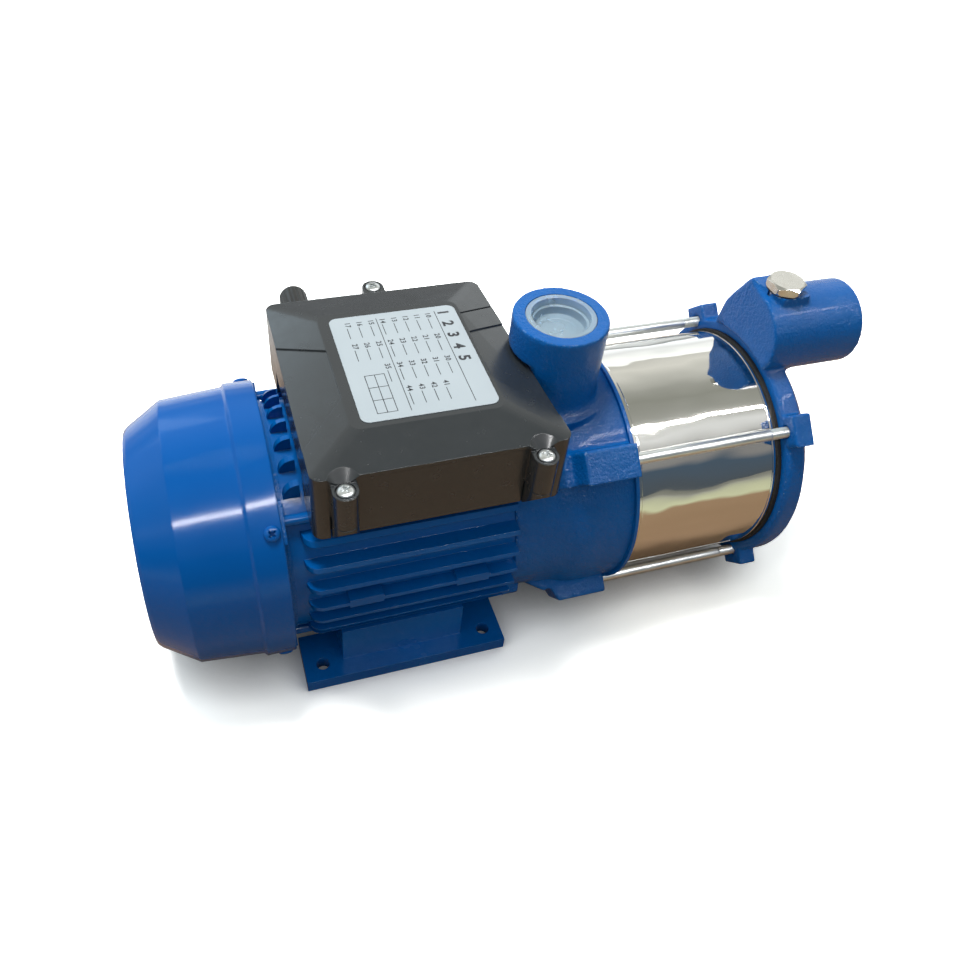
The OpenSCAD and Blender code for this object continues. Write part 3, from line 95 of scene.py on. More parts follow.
def noise(tree, scale, detail, rough=0.5, stretch=(1, 1, 1)):
    """A noise texture in the part's own coordinates; scale is in cycles a metre."""
    coord = tree.nodes.new("ShaderNodeTexCoord")
    mapping = tree.nodes.new("ShaderNodeMapping")
    mapping.inputs["Scale"].default_value = stretch
    tex = tree.nodes.new("ShaderNodeTexNoise")
    tex.inputs["Scale"].default_value = scale
    tex.inputs["Detail"].default_value = detail
    tex.inputs["Roughness"].default_value = rough
    tree.links.new(coord.outputs["Object"], mapping.inputs["Vector"])
    tree.links.new(mapping.outputs["Vector"], tex.inputs["Vector"])
    return tex


def ramp(tree, source, stops):
    """A run of colours, given as (place, colour) stops, driven by source."""
    node = tree.nodes.new("ShaderNodeValToRGB")
    for i, (place, color) in enumerate(stops):
        stop = node.color_ramp.elements[i] if i < 2 else node.color_ramp.elements.new(place)
        stop.position = place
        stop.color = (*color, 1)
    tree.links.new(source, node.inputs["Fac"])
    return node


def spread(tree, source, low, high, start=0.3, end=0.7):
    """Takes start to end in the source, most of a noise's range, to low to high."""
    node = tree.nodes.new("ShaderNodeMapRange")
    node.inputs["From Min"].default_value = start
    node.inputs["From Max"].default_value = end
    node.inputs["To Min"].default_value = low
    node.inputs["To Max"].default_value = high
    tree.links.new(source, node.inputs["Value"])
    return node


def product(tree, one, two):
    """One value times another."""
    node = tree.nodes.new("ShaderNodeMath")
    node.operation = "MULTIPLY"
    tree.links.new(one, node.inputs[0])
    tree.links.new(two, node.inputs[1])
    return node


def add_bump(tree, shader, layers, edge=0.0):
    """Bump layers of (noise, strength, depth), over normals rounded at the edges."""
    last = None
    if edge:
        bevel = tree.nodes.new("ShaderNodeBevel")
        bevel.samples = 4
        bevel.inputs["Radius"].default_value = edge
        last = bevel.outputs["Normal"]
    for tex, strength, depth in layers:
        bump = tree.nodes.new("ShaderNodeBump")
        bump.inputs["Strength"].default_value = strength
        bump.inputs["Distance"].default_value = depth
        tree.links.new(tex.outputs["Fac"], bump.inputs["Height"])
        if last:
            tree.links.new(last, bump.inputs["Normal"])
        last = bump.outputs["Normal"]
    if last:
        tree.links.new(last, shader.inputs["Normal"])


# Painted highlight: the lighter blue of the glints painted along casting edges
GLINT_BLUE = (0.22, 0.40, 0.62, 1)


def paint_edge_glints(tree, colors, shader):
    """Painted highlight: a lighter blue in spots along the sharp edges of a casting, standing in
    for glints of light.
    """
    shape = tree.nodes.new("ShaderNodeNewGeometry")
    edges = spread(tree, shape.outputs["Pointiness"], 0, 1, 0.525, 0.57)
    spots = spread(tree, noise(tree, 420, 3).outputs["Fac"], 0, 0.7, 0.56, 0.64)
    glints = product(tree, edges.outputs["Result"], spots.outputs["Result"])
    mix = tree.nodes.new("ShaderNodeMix")
    mix.data_type = "RGBA"
    tree.links.new(glints.outputs["Value"], mix.inputs["Factor"])
    tree.links.new(colors.outputs["Color"], mix.inputs["A"])
    mix.inputs["B"].default_value = GLINT_BLUE
    tree.links.new(mix.outputs["Result"], shader.inputs["Base Color"])


def paint(name, dark, light, grain, grain_depth, wave_depth, edge, rough, edge_glints=False):
    """Glossy enamel whose colour drifts from dark to light. The metal's skin shows
    through as a fine grain and a long wave, edge is the radius of the softened edges,
    and rough is the range of the roughness."""
    mat, tree, shader = new_material(name)
    drift = noise(tree, 14, 4)
    colors = ramp(tree, drift.outputs["Fac"], [(0.3, dark), (0.7, light)])
    tree.links.new(colors.outputs["Color"], shader.inputs["Base Color"])
    # Painted highlights: lighter blue spots along the sharp edges
    if edge_glints:
        paint_edge_glints(tree, colors, shader)
    patches = noise(tree, 60, 3)
    tree.links.new(spread(tree, patches.outputs["Fac"], *rough).outputs["Result"],
                   shader.inputs["Roughness"])
    shader.inputs["Specular IOR Level"].default_value = 0.20
    shader.inputs["Coat Weight"].default_value = 0.06
    shader.inputs["Coat Roughness"].default_value = 0.07
    layers = [(noise(tree, 45, 2), 0.5, wave_depth)]
    if grain:
        layers.append((noise(tree, grain, 4, 0.6), 0.6, grain_depth))
    add_bump(tree, shader, layers, edge)
    return mat


METAL_EDGE = 0.0003  # radius of the softened edges of bare metal


def metal(name, dark, light, rough, bump_depth, stretch=(1, 1, 1), scale=300, wave=0.0):
    """Bare metal with fine marks that stretch draws out along an axis; wave is the depth
    of the dents that bend what a polished sheet mirrors."""
    mat, tree, shader = new_material(name)
    drift = noise(tree, 40, 4, 0.5, stretch)
    colors = ramp(tree, drift.outputs["Fac"], [(0.3, dark), (0.7, light)])
    tree.links.new(colors.outputs["Color"], shader.inputs["Base Color"])
    shader.inputs["Metallic"].default_value = 1.0
    lines = noise(tree, scale, 3, 0.5, stretch)
    tree.links.new(spread(tree, lines.outputs["Fac"], *rough).outputs["Result"],
                   shader.inputs["Roughness"])
    layers = [(lines, 0.3, bump_depth)]
    if wave:
        layers.append((noise(tree, 26, 2, 0.5, (0.6, 1, 1)), 0.5, wave))
    add_bump(tree, shader, layers, METAL_EDGE)
    return mat


def plastic(name, dark, light, rough, grain, depth, edge=0.0004, specular=0.5):
    """Moulded plastic, rubber or ceramic with an even fine grain."""
    mat, tree, shader = new_material(name)
    drift = noise(tree, 18, 3)
    colors = ramp(tree, drift.outputs["Fac"], [(0.3, dark), (0.7, light)])
    tree.links.new(colors.outputs["Color"], shader.inputs["Base Color"])
    skin = noise(tree, grain, 2, 0.6)
    tree.links.new(spread(tree, skin.outputs["Fac"], *rough).outputs["Result"],
                   shader.inputs["Roughness"])
    shader.inputs["Specular IOR Level"].default_value = specular
    add_bump(tree, shader, [(skin, 0.35, depth)], edge)
    return mat


BLUE_DARK = (0.0004, 0.082, 0.320)
BLUE_LIGHT = (0.0008, 0.110, 0.405)
CAST = paint("cast_blue_enamel", BLUE_DARK, BLUE_LIGHT, 640, 0.0013, 0.0008, 0.0006,
             (0.10, 0.18), edge_glints=True)
RIM = paint("rim_blue_enamel", BLUE_DARK, BLUE_LIGHT, 640, 0.0007, 0.0006, 0.0005,
            (0.16, 0.26))
FINNED = paint("frame_blue_enamel", BLUE_DARK, BLUE_LIGHT, 500, 0.0002, 0.0008, 0.0005,
               (0.16, 0.28))
COWL = paint("cowl_blue_enamel", (0.0005, 0.080, 0.330), (0.0009, 0.093, 0.368), 0, 0, 0.0003,
             0.0014, (0.12, 0.18))
BARE_IRON = metal("machined_iron", (0.20, 0.20, 0.20), (0.32, 0.32, 0.31), (0.30, 0.45), 0.00004)
BOX_BLACK = plastic("box_black", (0.018, 0.022, 0.026), (0.023, 0.028, 0.033), (0.20, 0.28),
                    160, 0.00003, 0.0006, 0.72)
GLAND_BLACK = plastic("gland_black", (0.012, 0.012, 0.012), (0.02, 0.02, 0.02), (0.40, 0.55),
                      900, 0.00004)
RUBBER = plastic("black_rubber", (0.010, 0.010, 0.010), (0.018, 0.018, 0.017), (0.50, 0.70),
                 700, 0.00006, 0.0003, 0.35)
LABEL = plastic("plate_grey", (0.365, 0.42, 0.46), (0.405, 0.46, 0.50), (0.30, 0.40), 300,
                0.00001, 0.0002)
INK = plastic("plate_ink", (0.020, 0.022, 0.028), (0.035, 0.037, 0.045), (0.4, 0.5), 600,
              0.00001, 0.0)
ZINC = metal("bright_zinc", (0.64, 0.67, 0.68), (0.80, 0.82, 0.82), (0.28, 0.42), 0.00003,
             (0.2, 1, 1), 500)
NICKEL = metal("bright_nickel", (0.66, 0.65, 0.62), (0.78, 0.77, 0.73), (0.16, 0.28), 0.00003)
STEEL = metal("ground_steel", (0.50, 0.51, 0.52), (0.62, 0.63, 0.64), (0.22, 0.34), 0.00003)
SLEEVE = metal("mirror_stainless", (0.70, 0.69, 0.65), (0.78, 0.77, 0.74), (0.045, 0.075),
               0.000016, (0.15, 1, 1), 120, 0.0045)
LAMINATION = metal("lamination_steel", (0.20, 0.20, 0.21), (0.30, 0.30, 0.31), (0.4, 0.55),
                   0.00008, (12, 0.3, 0.3), 120)
COPPER = metal("enamelled_copper", (0.42, 0.15, 0.06), (0.58, 0.24, 0.10), (0.28, 0.42),
               0.0001, (0.4, 3, 3), 400)
ALUMINIUM = metal("cast_aluminium", (0.55, 0.56, 0.57), (0.66, 0.67, 0.68), (0.35, 0.5),
                  0.00006)
BRASS = metal("turned_brass", (0.62, 0.42, 0.16), (0.74, 0.52, 0.22), (0.22, 0.34), 0.00003)
NORYL = plastic("noryl_black", (0.02, 0.02, 0.022), (0.03, 0.03, 0.033), (0.35, 0.5), 500,
                0.00004)
DIFFUSER = plastic("diffuser_grey", (0.30, 0.31, 0.32), (0.38, 0.39, 0.40), (0.38, 0.5), 500,
                   0.00004)
CASE_GREY = plastic("capacitor_case", (0.62, 0.63, 0.62), (0.70, 0.71, 0.70), (0.35, 0.45),
                    400, 0.00003)
CERAMIC = plastic("alumina", (0.75, 0.73, 0.68), (0.82, 0.80, 0.76), (0.12, 0.2), 400,
                  0.00001)
GRAPHITE = plastic("graphite", (0.03, 0.03, 0.032), (0.05, 0.05, 0.052), (0.3, 0.4), 400,
                   0.00002)
TERMINAL_WHITE = plastic("terminal_nylon", (0.60, 0.60, 0.57), (0.70, 0.70, 0.66),
                         (0.35, 0.45), 500, 0.00003)


def translucent_cap():
    """Thin natural polyethylene, milky and slightly blue."""
    mat, tree, shader = new_material("cap_polyethylene")
    cloud = noise(tree, 45, 2)
    colors = ramp(tree, cloud.outputs["Fac"],
                  [(0.3, (0.50, 0.66, 0.78)), (0.7, (0.56, 0.71, 0.82))])
    tree.links.new(colors.outputs["Color"], shader.inputs["Base Color"])
    tree.links.new(spread(tree, cloud.outputs["Fac"], 0.22, 0.34).outputs["Result"],
                   shader.inputs["Roughness"])
    shader.inputs["Transmission Weight"].default_value = 0.62
    shader.inputs["IOR"].default_value = 1.45
    add_bump(tree, shader, [(noise(tree, 40, 1), 0.3, 0.00003)], 0.0003)
    return mat


CAP = translucent_cap()

LOOKS = {
    "motor_frame": FINNED, "rear_end_shield": RIM, "fan_cowl": COWL, "cowl_screws": COWL,
    "motor_tie_bolts": FINNED, "stator_core": LAMINATION, "stator_windings": COPPER,
    "rear_bearing_outer_ring": STEEL, "rear_bearing_inner_ring": STEEL,
    "rear_bearing_balls": NICKEL, "rear_bearing_cage": BRASS,
    "front_bearing_outer_ring": STEEL, "front_bearing_inner_ring": STEEL,
    "front_bearing_balls": NICKEL, "front_bearing_cage": BRASS, "wave_washer": STEEL,
    "rotor_shaft": STEEL, "rotor_core": LAMINATION, "rotor_end_rings": ALUMINIUM,
    "cooling_fan": NORYL, "water_slinger": RUBBER, "terminal_base": BOX_BLACK,
    "base_gasket": RUBBER, "terminal_cover": BOX_BLACK, "cover_screws": ZINC,
    "rating_plate": LABEL, "terminal_block": TERMINAL_WHITE, "terminal_screws": BRASS,
    "run_capacitor": CASE_GREY, "gland_body": GLAND_BLACK, "gland_nut": GLAND_BLACK,
    "gland_seal": RUBBER, "gland_locknut": GLAND_BLACK, "pump_bracket": CAST,
    "pump_sleeve": SLEEVE, "rear_sleeve_gasket": RUBBER, "front_sleeve_gasket": RUBBER,
    "suction_casing": CAST, "tie_rods": ZINC, "tie_rod_nuts": ZINC, "tie_rod_washers": ZINC,
    "seal_seat": CERAMIC, "seal_face_ring": GRAPHITE, "seal_bellows": RUBBER,
    "seal_spring": STEEL, "impeller_key": STEEL, "impeller_nut": ZINC,
    "filler_plug": NICKEL, "filler_washer": RUBBER, "drain_plug": NICKEL,
    "drain_washer": RUBBER, "discharge_cap": CAP,
}
for stage in range(1, 5):
    LOOKS[f"impeller_{stage}"] = NORYL
    LOOKS[f"diffuser_{stage}"] = DIFFUSER


def dress(obj, mat):
    """Gives every slot of a solid the same material."""
    if obj.data.materials:
        for i in range(len(obj.data.materials)):
            obj.data.materials[i] = mat
    else:
        obj.data.materials.append(mat)


for node_name, obj in nodes.items():
    dress(obj, LOOKS[node_name])


# Mesh helpers
def place(name, mesh, mat, slot, body="housing"):
    """A new piece that rides on a body, with its material. The slot argument is not used."""
    obj = bpy.data.objects.new(name, mesh)
    scene.collection.objects.link(obj)
    mesh.materials.clear()
    mesh.materials.append(mat)
    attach(obj, body)
    return obj


def set_smooth(mesh, sharp):
    """Smooth faces, with a crisp edge where they meet at more than sharp degrees."""
    for poly in mesh.polygons:
        poly.use_smooth = True
    mesh.set_sharp_from_angle(angle=math.radians(sharp))


def stand(origin, axis, spin=0.0):
    """The turn and shift that take a piece made along Z to its place and axis."""
    turn = Vector(UP).rotation_difference(Vector(axis)).to_matrix().to_4x4()
    return Matrix.Translation(Vector(origin)) @ turn @ Matrix.Rotation(spin, 4, "Z")


def turned(name, profile, steps=96, warp=None, sharp=30):
    """A closed body turned about Z from [radius, height] points; warp(r, h, angle)
    gives a radius that changes round the axis."""
    bm = bmesh.new()
    rows = []
    for k in range(steps):
        a = 2 * math.pi * k / steps
        row = []
        for r, h in profile:
            real = warp(r, h, a) if warp else r
            row.append(bm.verts.new((real * math.cos(a), real * math.sin(a), h)))
        rows.append(row)
    n = len(profile)
    for k in range(steps):
        here, there = rows[k], rows[(k + 1) % steps]
        for i in range(n):
            j = (i + 1) % n
            if profile[i][0] < 1e-9 and profile[j][0] < 1e-9:
                continue
            bm.faces.new((here[i], there[i], there[j], here[j]))
    bmesh.ops.remove_doubles(bm, verts=bm.verts, dist=1e-7)
    bmesh.ops.recalc_face_normals(bm, faces=bm.faces)
    mesh = bpy.data.meshes.new(name)
    bm.to_mesh(mesh)
    bm.free()
    set_smooth(mesh, sharp)
    return mesh


def joined(name, meshes):
    """One mesh from several placed ones."""
    bm = bmesh.new()
    for mesh in meshes:
        bm.from_mesh(mesh)
    out = bpy.data.meshes.new(name)
    bm.to_mesh(out)
    bm.free()
    return out


def evaluated_mesh(obj):
    """The object's mesh with its modifiers or its text worked out."""
    bpy.context.view_layer.update()
    graph = bpy.context.evaluated_depsgraph_get()
    return bpy.data.meshes.new_from_object(obj.evaluated_get(graph))


def carved(mesh, tools):
    """The mesh with the tool meshes cut out of it."""
    work = bpy.data.objects.new("carving", mesh)
    scene.collection.objects.link(work)
    helpers = []
    for tool in tools:
        helper = bpy.data.objects.new("carving_tool", tool)
        scene.collection.objects.link(helper)
        cut = work.modifiers.new("cut", "BOOLEAN")
        cut.operation = "DIFFERENCE"
        cut.object = helper
        helpers.append(helper)
    out = evaluated_mesh(work)
    for obj in (work, *helpers):
        bpy.data.objects.remove(obj)
    return out


def wedge(long_top, long_low, wide, top, low, turn):
    """A blade that narrows downwards, the tool of one bar of a cross recess."""
    bm = bmesh.new()
    rings = []
    for half, z in ((long_low / 2, low), (long_top / 2, top)):
        corners = ((-half, -wide / 2), (half, -wide / 2), (half, wide / 2), (-half, wide / 2))
        rings.append([bm.verts.new((x, y, z)) for x, y in corners])
    bm.faces.new(rings[0][::-1])
    bm.faces.new(rings[1])
    for i in range(4):
        j = (i + 1) % 4
        bm.faces.new((rings[0][i], rings[0][j], rings[1][j], rings[1][i]))
    mesh = bpy.data.meshes.new("blade")
    bm.to_mesh(mesh)
    bm.free()
    mesh.transform(Matrix.Rotation(turn, 4, "Z"))
    return mesh


def cross_head(name, head_d, head_t, shank_d, shank_l):
    """A pan-headed screw with a cross recess; its head sits on z = 0."""
    r = head_d / 2
    crown = [(1.0, 0.0), (1.0, 0.34), (0.94, 0.60), (0.78, 0.82), (0.55, 0.94), (0.28, 0.99),
             (0.0, 1.0)]
    profile = [(0, -shank_l), (shank_d / 2, -shank_l), (shank_d / 2, 0)]
    profile += [(r * share, head_t * rise) for share, rise in crown]
    body = turned(name, profile, 48)
    wide = head_d * 0.14
    deep = head_t * 0.25
    blades = [wedge(head_d * 0.62, head_d * 0.30, wide, head_t * 1.2, deep, turn)
              for turn in (0, math.pi / 2)]
    mesh = carved(body, blades)
    set_smooth(mesh, 30)
    return mesh


def laplacian(co, edges, weights, rounds):
    """Moves each point half way to the mean of its neighbours, as far as its weight lets
    it, and repeats that."""
    n = len(co)
    a, b = edges[:, 0], edges[:, 1]
    count = np.bincount(a, minlength=n) + np.bincount(b, minlength=n)
    for _ in range(rounds):
        total = np.empty_like(co)
        for axis in range(3):
            total[:, axis] = (np.bincount(a, co[b, axis], n) + np.bincount(b, co[a, axis], n))
        mean = total / np.maximum(count, 1)[:, None]
        co = co + (mean - co) * (0.5 * weights)[:, None]
    return co


def radius_from(co, point, axis):
    """Each point's distance from a line, and its place along it."""
    d = co - np.array(point)
    axis = np.array(axis, float)
    along = d @ axis
    return np.linalg.norm(d - np.outer(along, axis), axis=1), along


def keep_flat(before, co, axis, level, near):
    """Puts the vertices of a machined flat back on it."""
    on = near & (np.abs(before[:, axis] - level) < SNAP)
    co[on, axis] = level


def keep_round(before, co, point, axis, radius, low, high):
    """Puts the vertices of a machined bore or rim back on it."""
    r, along = radius_from(before, point, axis)
    on = (np.abs(r - radius) < SNAP) & (along > low - SNAP) & (along < high + SNAP)
    now, along_now = radius_from(co, point, axis)
    axis = np.array(axis, float)
    foot = np.array(point) + np.outer(along_now, axis)
    co[on] = foot[on] + (co[on] - foot[on]) * (radius / now[on])[:, None]


def cast_skin(node, name, hold, machine):
    """The casting's own skin: the solid with sand-cast radii at its edges and corners,
    and crisp edges where it is machined. hold gives how far each point may move, and
    machine puts the machined faces and bores back."""
    mesh = nodes[node].data.copy()
    bm = bmesh.new()
    bm.from_mesh(mesh)
    bmesh.ops.remove_doubles(bm, verts=bm.verts, dist=2e-6)
    bm.to_mesh(mesh)
    bm.free()
    work = bpy.data.objects.new(name + "_work", mesh)
    scene.collection.objects.link(work)
    remesh = work.modifiers.new("skin", "REMESH")
    remesh.mode = "VOXEL"
    remesh.voxel_size = VOXEL
    skin = evaluated_mesh(work)
    bpy.data.objects.remove(work)
    before = np.empty(len(skin.vertices) * 3)
    skin.vertices.foreach_get("co", before)
    before = before.reshape(-1, 3)
    edges = np.empty(len(skin.edges) * 2, int)
    skin.edges.foreach_get("vertices", edges)
    edges = edges.reshape(-1, 2)
    co = laplacian(before, edges, hold(before), SMOOTH_ROUNDS)
    machine(before, co)
    skin.vertices.foreach_set("co", co.astype(np.float32).ravel())
    skin.name = name
    set_smooth(skin, 50)
    obj = place(name, skin, CAST, "cast_blue")
    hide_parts(node)


# Castings
VOXEL = 0.8 * MM  # grid of the castings' skin
SNAP = 0.6 * VOXEL  # a point this near to a machined face counts as on it
SMOOTH_ROUNDS = 4


def bracket_hold(co):
    """The bracket's thin spigot in the motor frame keeps its shape."""
    weights = np.ones(len(co))
    weights[co[:, 0] < SPIGOT_END] = 0.1
    return weights


def bracket_machine(before, co):
    port = (PORT_X, 0, 0)
    r, _ = radius_from(before, port, UP)
    keep_flat(before, co, 2, PORT_Z, r < PORT_R - SNAP)
    bores = ((CAP_SEAT_R, 2.6 * MM, 0), (CAP_SKIRT_SEAT_R, 9.6 * MM, 3 * MM),
             (BORE_R, 30 * MM, 10 * MM))
    for radius, deep, shallow in bores:
        keep_round(before, co, port, UP, radius, PORT_Z - deep, PORT_Z - shallow)
    r, _ = radius_from(before, SHAFT, ALONG_X)
    keep_flat(before, co, 0, BRACKET_FACE, (r > SLEEVE_R - 1 * MM) & (r < CASING_R))
    keep_round(before, co, SHAFT, ALONG_X, GASKET_R, BRACKET_FACE - 3 * MM, BRACKET_FACE)


def casing_hold(co):
    """The whole casing is smoothed alike."""
    return np.ones(len(co))


def casing_machine(before, co):
    r, _ = radius_from(before, SHAFT, ALONG_X)
    keep_flat(before, co, 0, CASING_FACE, (r > SLEEVE_R - 1 * MM) & (r < CASING_R - VOXEL))
    keep_round(before, co, SHAFT, ALONG_X, GASKET_R, CASING_FACE, CASING_FACE + 2 * MM)
    port = (0, 0, SUCTION_Z)
    r, _ = radius_from(before, port, ALONG_X)
    keep_flat(before, co, 0, SUCTION_END, r < 22 * MM)
    keep_round(before, co, port, ALONG_X, BORE_R, SUCTION_END - THREAD_L, SUCTION_END)
    r, _ = radius_from(before, (FILLER_X, 0, 0), UP)
    keep_flat(before, co, 2, FILLER_Z, r < 20 * MM)


cast_skin("pump_bracket", "bracket_casting", bracket_hold, bracket_machine)
cast_skin("suction_casing", "suction_casting", casing_hold, casing_machine)


def add_rim(name, outer, face, axis):
    """The crisp machined edge of a casting, as a thin ring at its face. The ring stands
    proud of the skin by a hair, and its own height counts along axis."""
    edge, deep, proud = 0.25 * MM, 1.9 * MM, 0.1 * MM
    start, end = face - deep, face + proud
    profile = [(GASKET_R, start), (outer, start), (outer, end - edge), (outer - edge, end),
               (GASKET_R + edge, end), (GASKET_R, end - edge)]
    mesh = turned(name, profile, 256)
    mesh.transform(stand(SHAFT, axis))
    place(name, mesh, RIM, "cast_blue")


add_rim("bracket_rim", 67.6 * MM, BRACKET_FACE, ALONG_X)
add_rim("casing_rim", 68.4 * MM, -CASING_FACE, (-1, 0, 0))


# Pump sleeve and tie rods
def add_sleeve():
    """Polished tube with a fine rolled line near each end."""
    line, width, depth, wall, lip = 2.4 * MM, 0.9 * MM, 0.28 * MM, 1.5 * MM, 1.8 * MM
    shows = ((BRACKET_FACE + lip, 1), (CASING_FACE - lip, -1))
    marks = []
    for edge, way in shows:
        middle = edge + way * line
        marks += [(SLEEVE_R, middle - width / 2), (SLEEVE_R - depth, middle),
                  (SLEEVE_R, middle + width / 2)]
    inner = SLEEVE_R - wall
    profile = [(inner, SLEEVE_LOW.x), (SLEEVE_R, SLEEVE_LOW.x)]
    profile += sorted(marks, key=lambda point: point[1])
    profile += [(SLEEVE_R, SLEEVE_HIGH.x), (inner, SLEEVE_HIGH.x)]
    mesh = turned("stainless_sleeve", profile, 256, sharp=18)
    mesh.transform(stand(SHAFT, ALONG_X))
    obj = place("stainless_sleeve", mesh, SLEEVE, "stainless")
    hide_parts("pump_sleeve")


def triangle_wave(turns):
    """0 at a thread's crest and 1 at its root."""
    return abs((turns % 1) * 2 - 1)


def rows_between(start, end, pitch, parts=6):
    """Even heights from start to end, parts of them to a pitch."""
    count = max(2, round((end - start) / pitch * parts))
    return [start + (end - start) * i / count for i in range(count + 1)]


def add_tie_rods():
    """Four rods, threaded where they enter the casing's lugs."""
    low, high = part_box("tie_rods")
    thread_x, pitch, depth = CASING_FACE - 9 * MM, 1.0 * MM, 0.45 * MM
    rows = rows_between(thread_x, high.x - 0.5 * MM, pitch)
    profile = [(0, low.x), (ROD_R, low.x), (ROD_R, thread_x - pitch)]
    profile += [(ROD_R, h) for h in rows] + [(ROD_R - depth, high.x), (0, high.x)]

    def cut_thread(r, h, a):
        if r < ROD_R or h < thread_x:
            return r
        return r - depth * triangle_wave(h / pitch - a / (2 * math.pi))

    rods = []
    for turn in (45, 135, 225, 315):
        t = math.radians(turn)
        mesh = turned("rod", profile, 32, cut_thread, 40)
        foot = (0, ROD_CIRCLE * math.sin(t), SHAFT_Z + ROD_CIRCLE * math.cos(t))
        mesh.transform(stand(foot, ALONG_X, t))
        rods.append(mesh)
    mesh = joined("threaded_tie_rods", rods)
    set_smooth(mesh, 40)
    obj = place("threaded_tie_rods", mesh, ZINC, "zinc")
    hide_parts("tie_rods")


add_sleeve()
add_tie_rods()


# Ports, cap and gland
def add_port_thread(name, origin, axis):
    """The female pipe thread as a ring of ridges on the bore."""
    pitch, depth, lead_in = 2.309 * MM, 1.0 * MM, 0.8 * MM
    outer, inner = BORE_R + 0.5 * MM, BORE_R - 0.05 * MM
    rows = rows_between(lead_in, THREAD_L - lead_in, pitch, 8)
    profile = [(outer, 0), (inner, 0)]
    profile += [(inner, h) for h in rows]
    profile += [(inner, THREAD_L), (outer, THREAD_L)]

    def ridge(r, h, a):
        if r > BORE_R or h < rows[0] or h > rows[-1]:
            return r
        return r - depth * (1 - triangle_wave(h / pitch - a / (2 * math.pi)))

    mesh = turned(name, profile, 96, ridge, 40)
    mesh.transform(stand(origin, axis))
    place(name, mesh, BARE_IRON, "steel")


def add_cap():
    """Push-in cap: a rim, a skirt and a floor, with a step inside and a moulding mark.
    The points are radius and height in millimetres."""
    points = [(0, 0), (15.1, 0), (15.4, 0.3), (15.4, 7.0), (17.1, 7.0), (17.36, 7.25),
              (17.36, 9.2), (17.06, 9.5), (14.86, 9.5), (14.56, 9.25), (14.2, 5.75), (13.95, 5.5),
              (13.25, 5.5), (13.0, 5.25), (12.66, 1.5), (12.4, 1.2), (9.0, 1.2), (8.8, 1.0),
              (2.2, 1.0), (1.9, 1.35), (0, 1.45)]
    mesh = turned("polyethylene_cap", [(r * MM, h * MM) for r, h in points], 128)
    mesh.transform(Matrix.Translation((PORT_X, 0, CAP_LOW.z)))
    obj = place("polyethylene_cap", mesh, CAP, "cap_white", "port_cap")
    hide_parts("discharge_cap")


def add_gland_nut():
    """Domed gland nut with grip flutes."""
    low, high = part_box("gland_nut")
    outer, inner, bore, dome = 7.4 * MM, 6.35 * MM, 3.5 * MM, 4 * MM
    flutes, flute_depth = 14, 0.5 * MM
    length, socket = high.y - low.y, 7.5 * MM
    arc = [(outer - dome + dome * math.cos(t), length - dome + dome * math.sin(t))
           for t in (math.radians(10 * k) for k in range(7))]
    body_rows = rows_between(2 * MM, length - dome - 1.5 * MM, 2 * MM, 2)
    profile = [(inner, 0), (outer, 0)] + [(outer, h) for h in body_rows]
    profile += arc + [(bore, length), (bore, socket), (inner, socket)]

    def flute(r, h, a):
        if r < outer or h < body_rows[0] or h > body_rows[-1]:
            return r
        return r - flute_depth * max(0.0, math.cos(flutes * a)) ** 2

    mesh = turned("fluted_gland_nut", profile, 168, flute)
    mesh.transform(stand(((low.x + high.x) / 2, low.y, (low.z + high.z) / 2), ALONG_Y))
    obj = place("fluted_gland_nut", mesh, GLAND_BLACK, "box_black")
    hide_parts("gland_nut")


add_port_thread("discharge_thread", (PORT_X, 0, PORT_Z - CAP_SEAT_L - THREAD_L), UP)
add_port_thread("suction_thread", (SUCTION_END - THREAD_L - 0.2 * MM, 0, SUCTION_Z), ALONG_X)
add_cap()
add_gland_nut()


# Screws
def add_screws(name, node, head, seats, mat, slot):
    """One group of equal screws; seats are (origin, axis, spin)."""
    parts = []
    for origin, axis, spin in seats:
        mesh = head.copy()
        mesh.transform(stand(origin, axis, spin))
        parts.append(mesh)
    mesh = joined(name, parts)
    set_smooth(mesh, 30)
    obj = place(name, mesh, mat, slot)
    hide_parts(node)


COVER_SCREW_SEAT = 152.9 * MM
COWL_SCREW_X = -63.3 * MM
COWL_BAND_R = 70.6 * MM
cover_seats = [((x * MM, y * MM, COVER_SCREW_SEAT), UP, spin)
               for x, y, spin in ((-32.6, -66.7, 0.35), (57.0, -66.7, 1.15), (11.9, 72.4, 0.8))]
cover_head = cross_head("cover_screw", 8 * MM, 2.5 * MM, 4 * MM, 24 * MM)
add_screws("cover_cross_screws", "cover_screws", cover_head, cover_seats, ZINC, "zinc")
cowl_seats = []
for turn in (48, 132, 228, 312):
    t = math.radians(turn)
    out = Vector((0, math.sin(t), math.cos(t)))
    cowl_seats.append((out * COWL_BAND_R + Vector((COWL_SCREW_X, 0, SHAFT_Z)), out, t))
cowl_head = cross_head("cowl_screw", 7.6 * MM, 2 * MM, 4 * MM, 4.6 * MM)
add_screws("cowl_cross_screws", "cowl_screws", cowl_head, cowl_seats, COWL, "cowl_blue")


# Rating plate
PRINT_RISE = 0.03 * MM  # half the thickness of the ink


def bar(corner, far_corner):
    """A flat printed bar on the plate, from corner to corner."""
    bm = bmesh.new()
    (x0, y0), (x1, y1) = corner, far_corner
    top = [bm.verts.new((x, y, PRINT_RISE)) for x, y in ((x0, y0), (x1, y0), (x1, y1), (x0, y1))]
    low = [bm.verts.new((v.co.x, v.co.y, -PRINT_RISE)) for v in top]
    bm.faces.new(top)
    bm.faces.new(low[::-1])
    for i in range(4):
        j = (i + 1) % 4
        bm.faces.new((low[i], low[j], top[j], top[i]))
    mesh = bpy.data.meshes.new("bar")
    bm.to_mesh(mesh)
    bm.free()
    return mesh


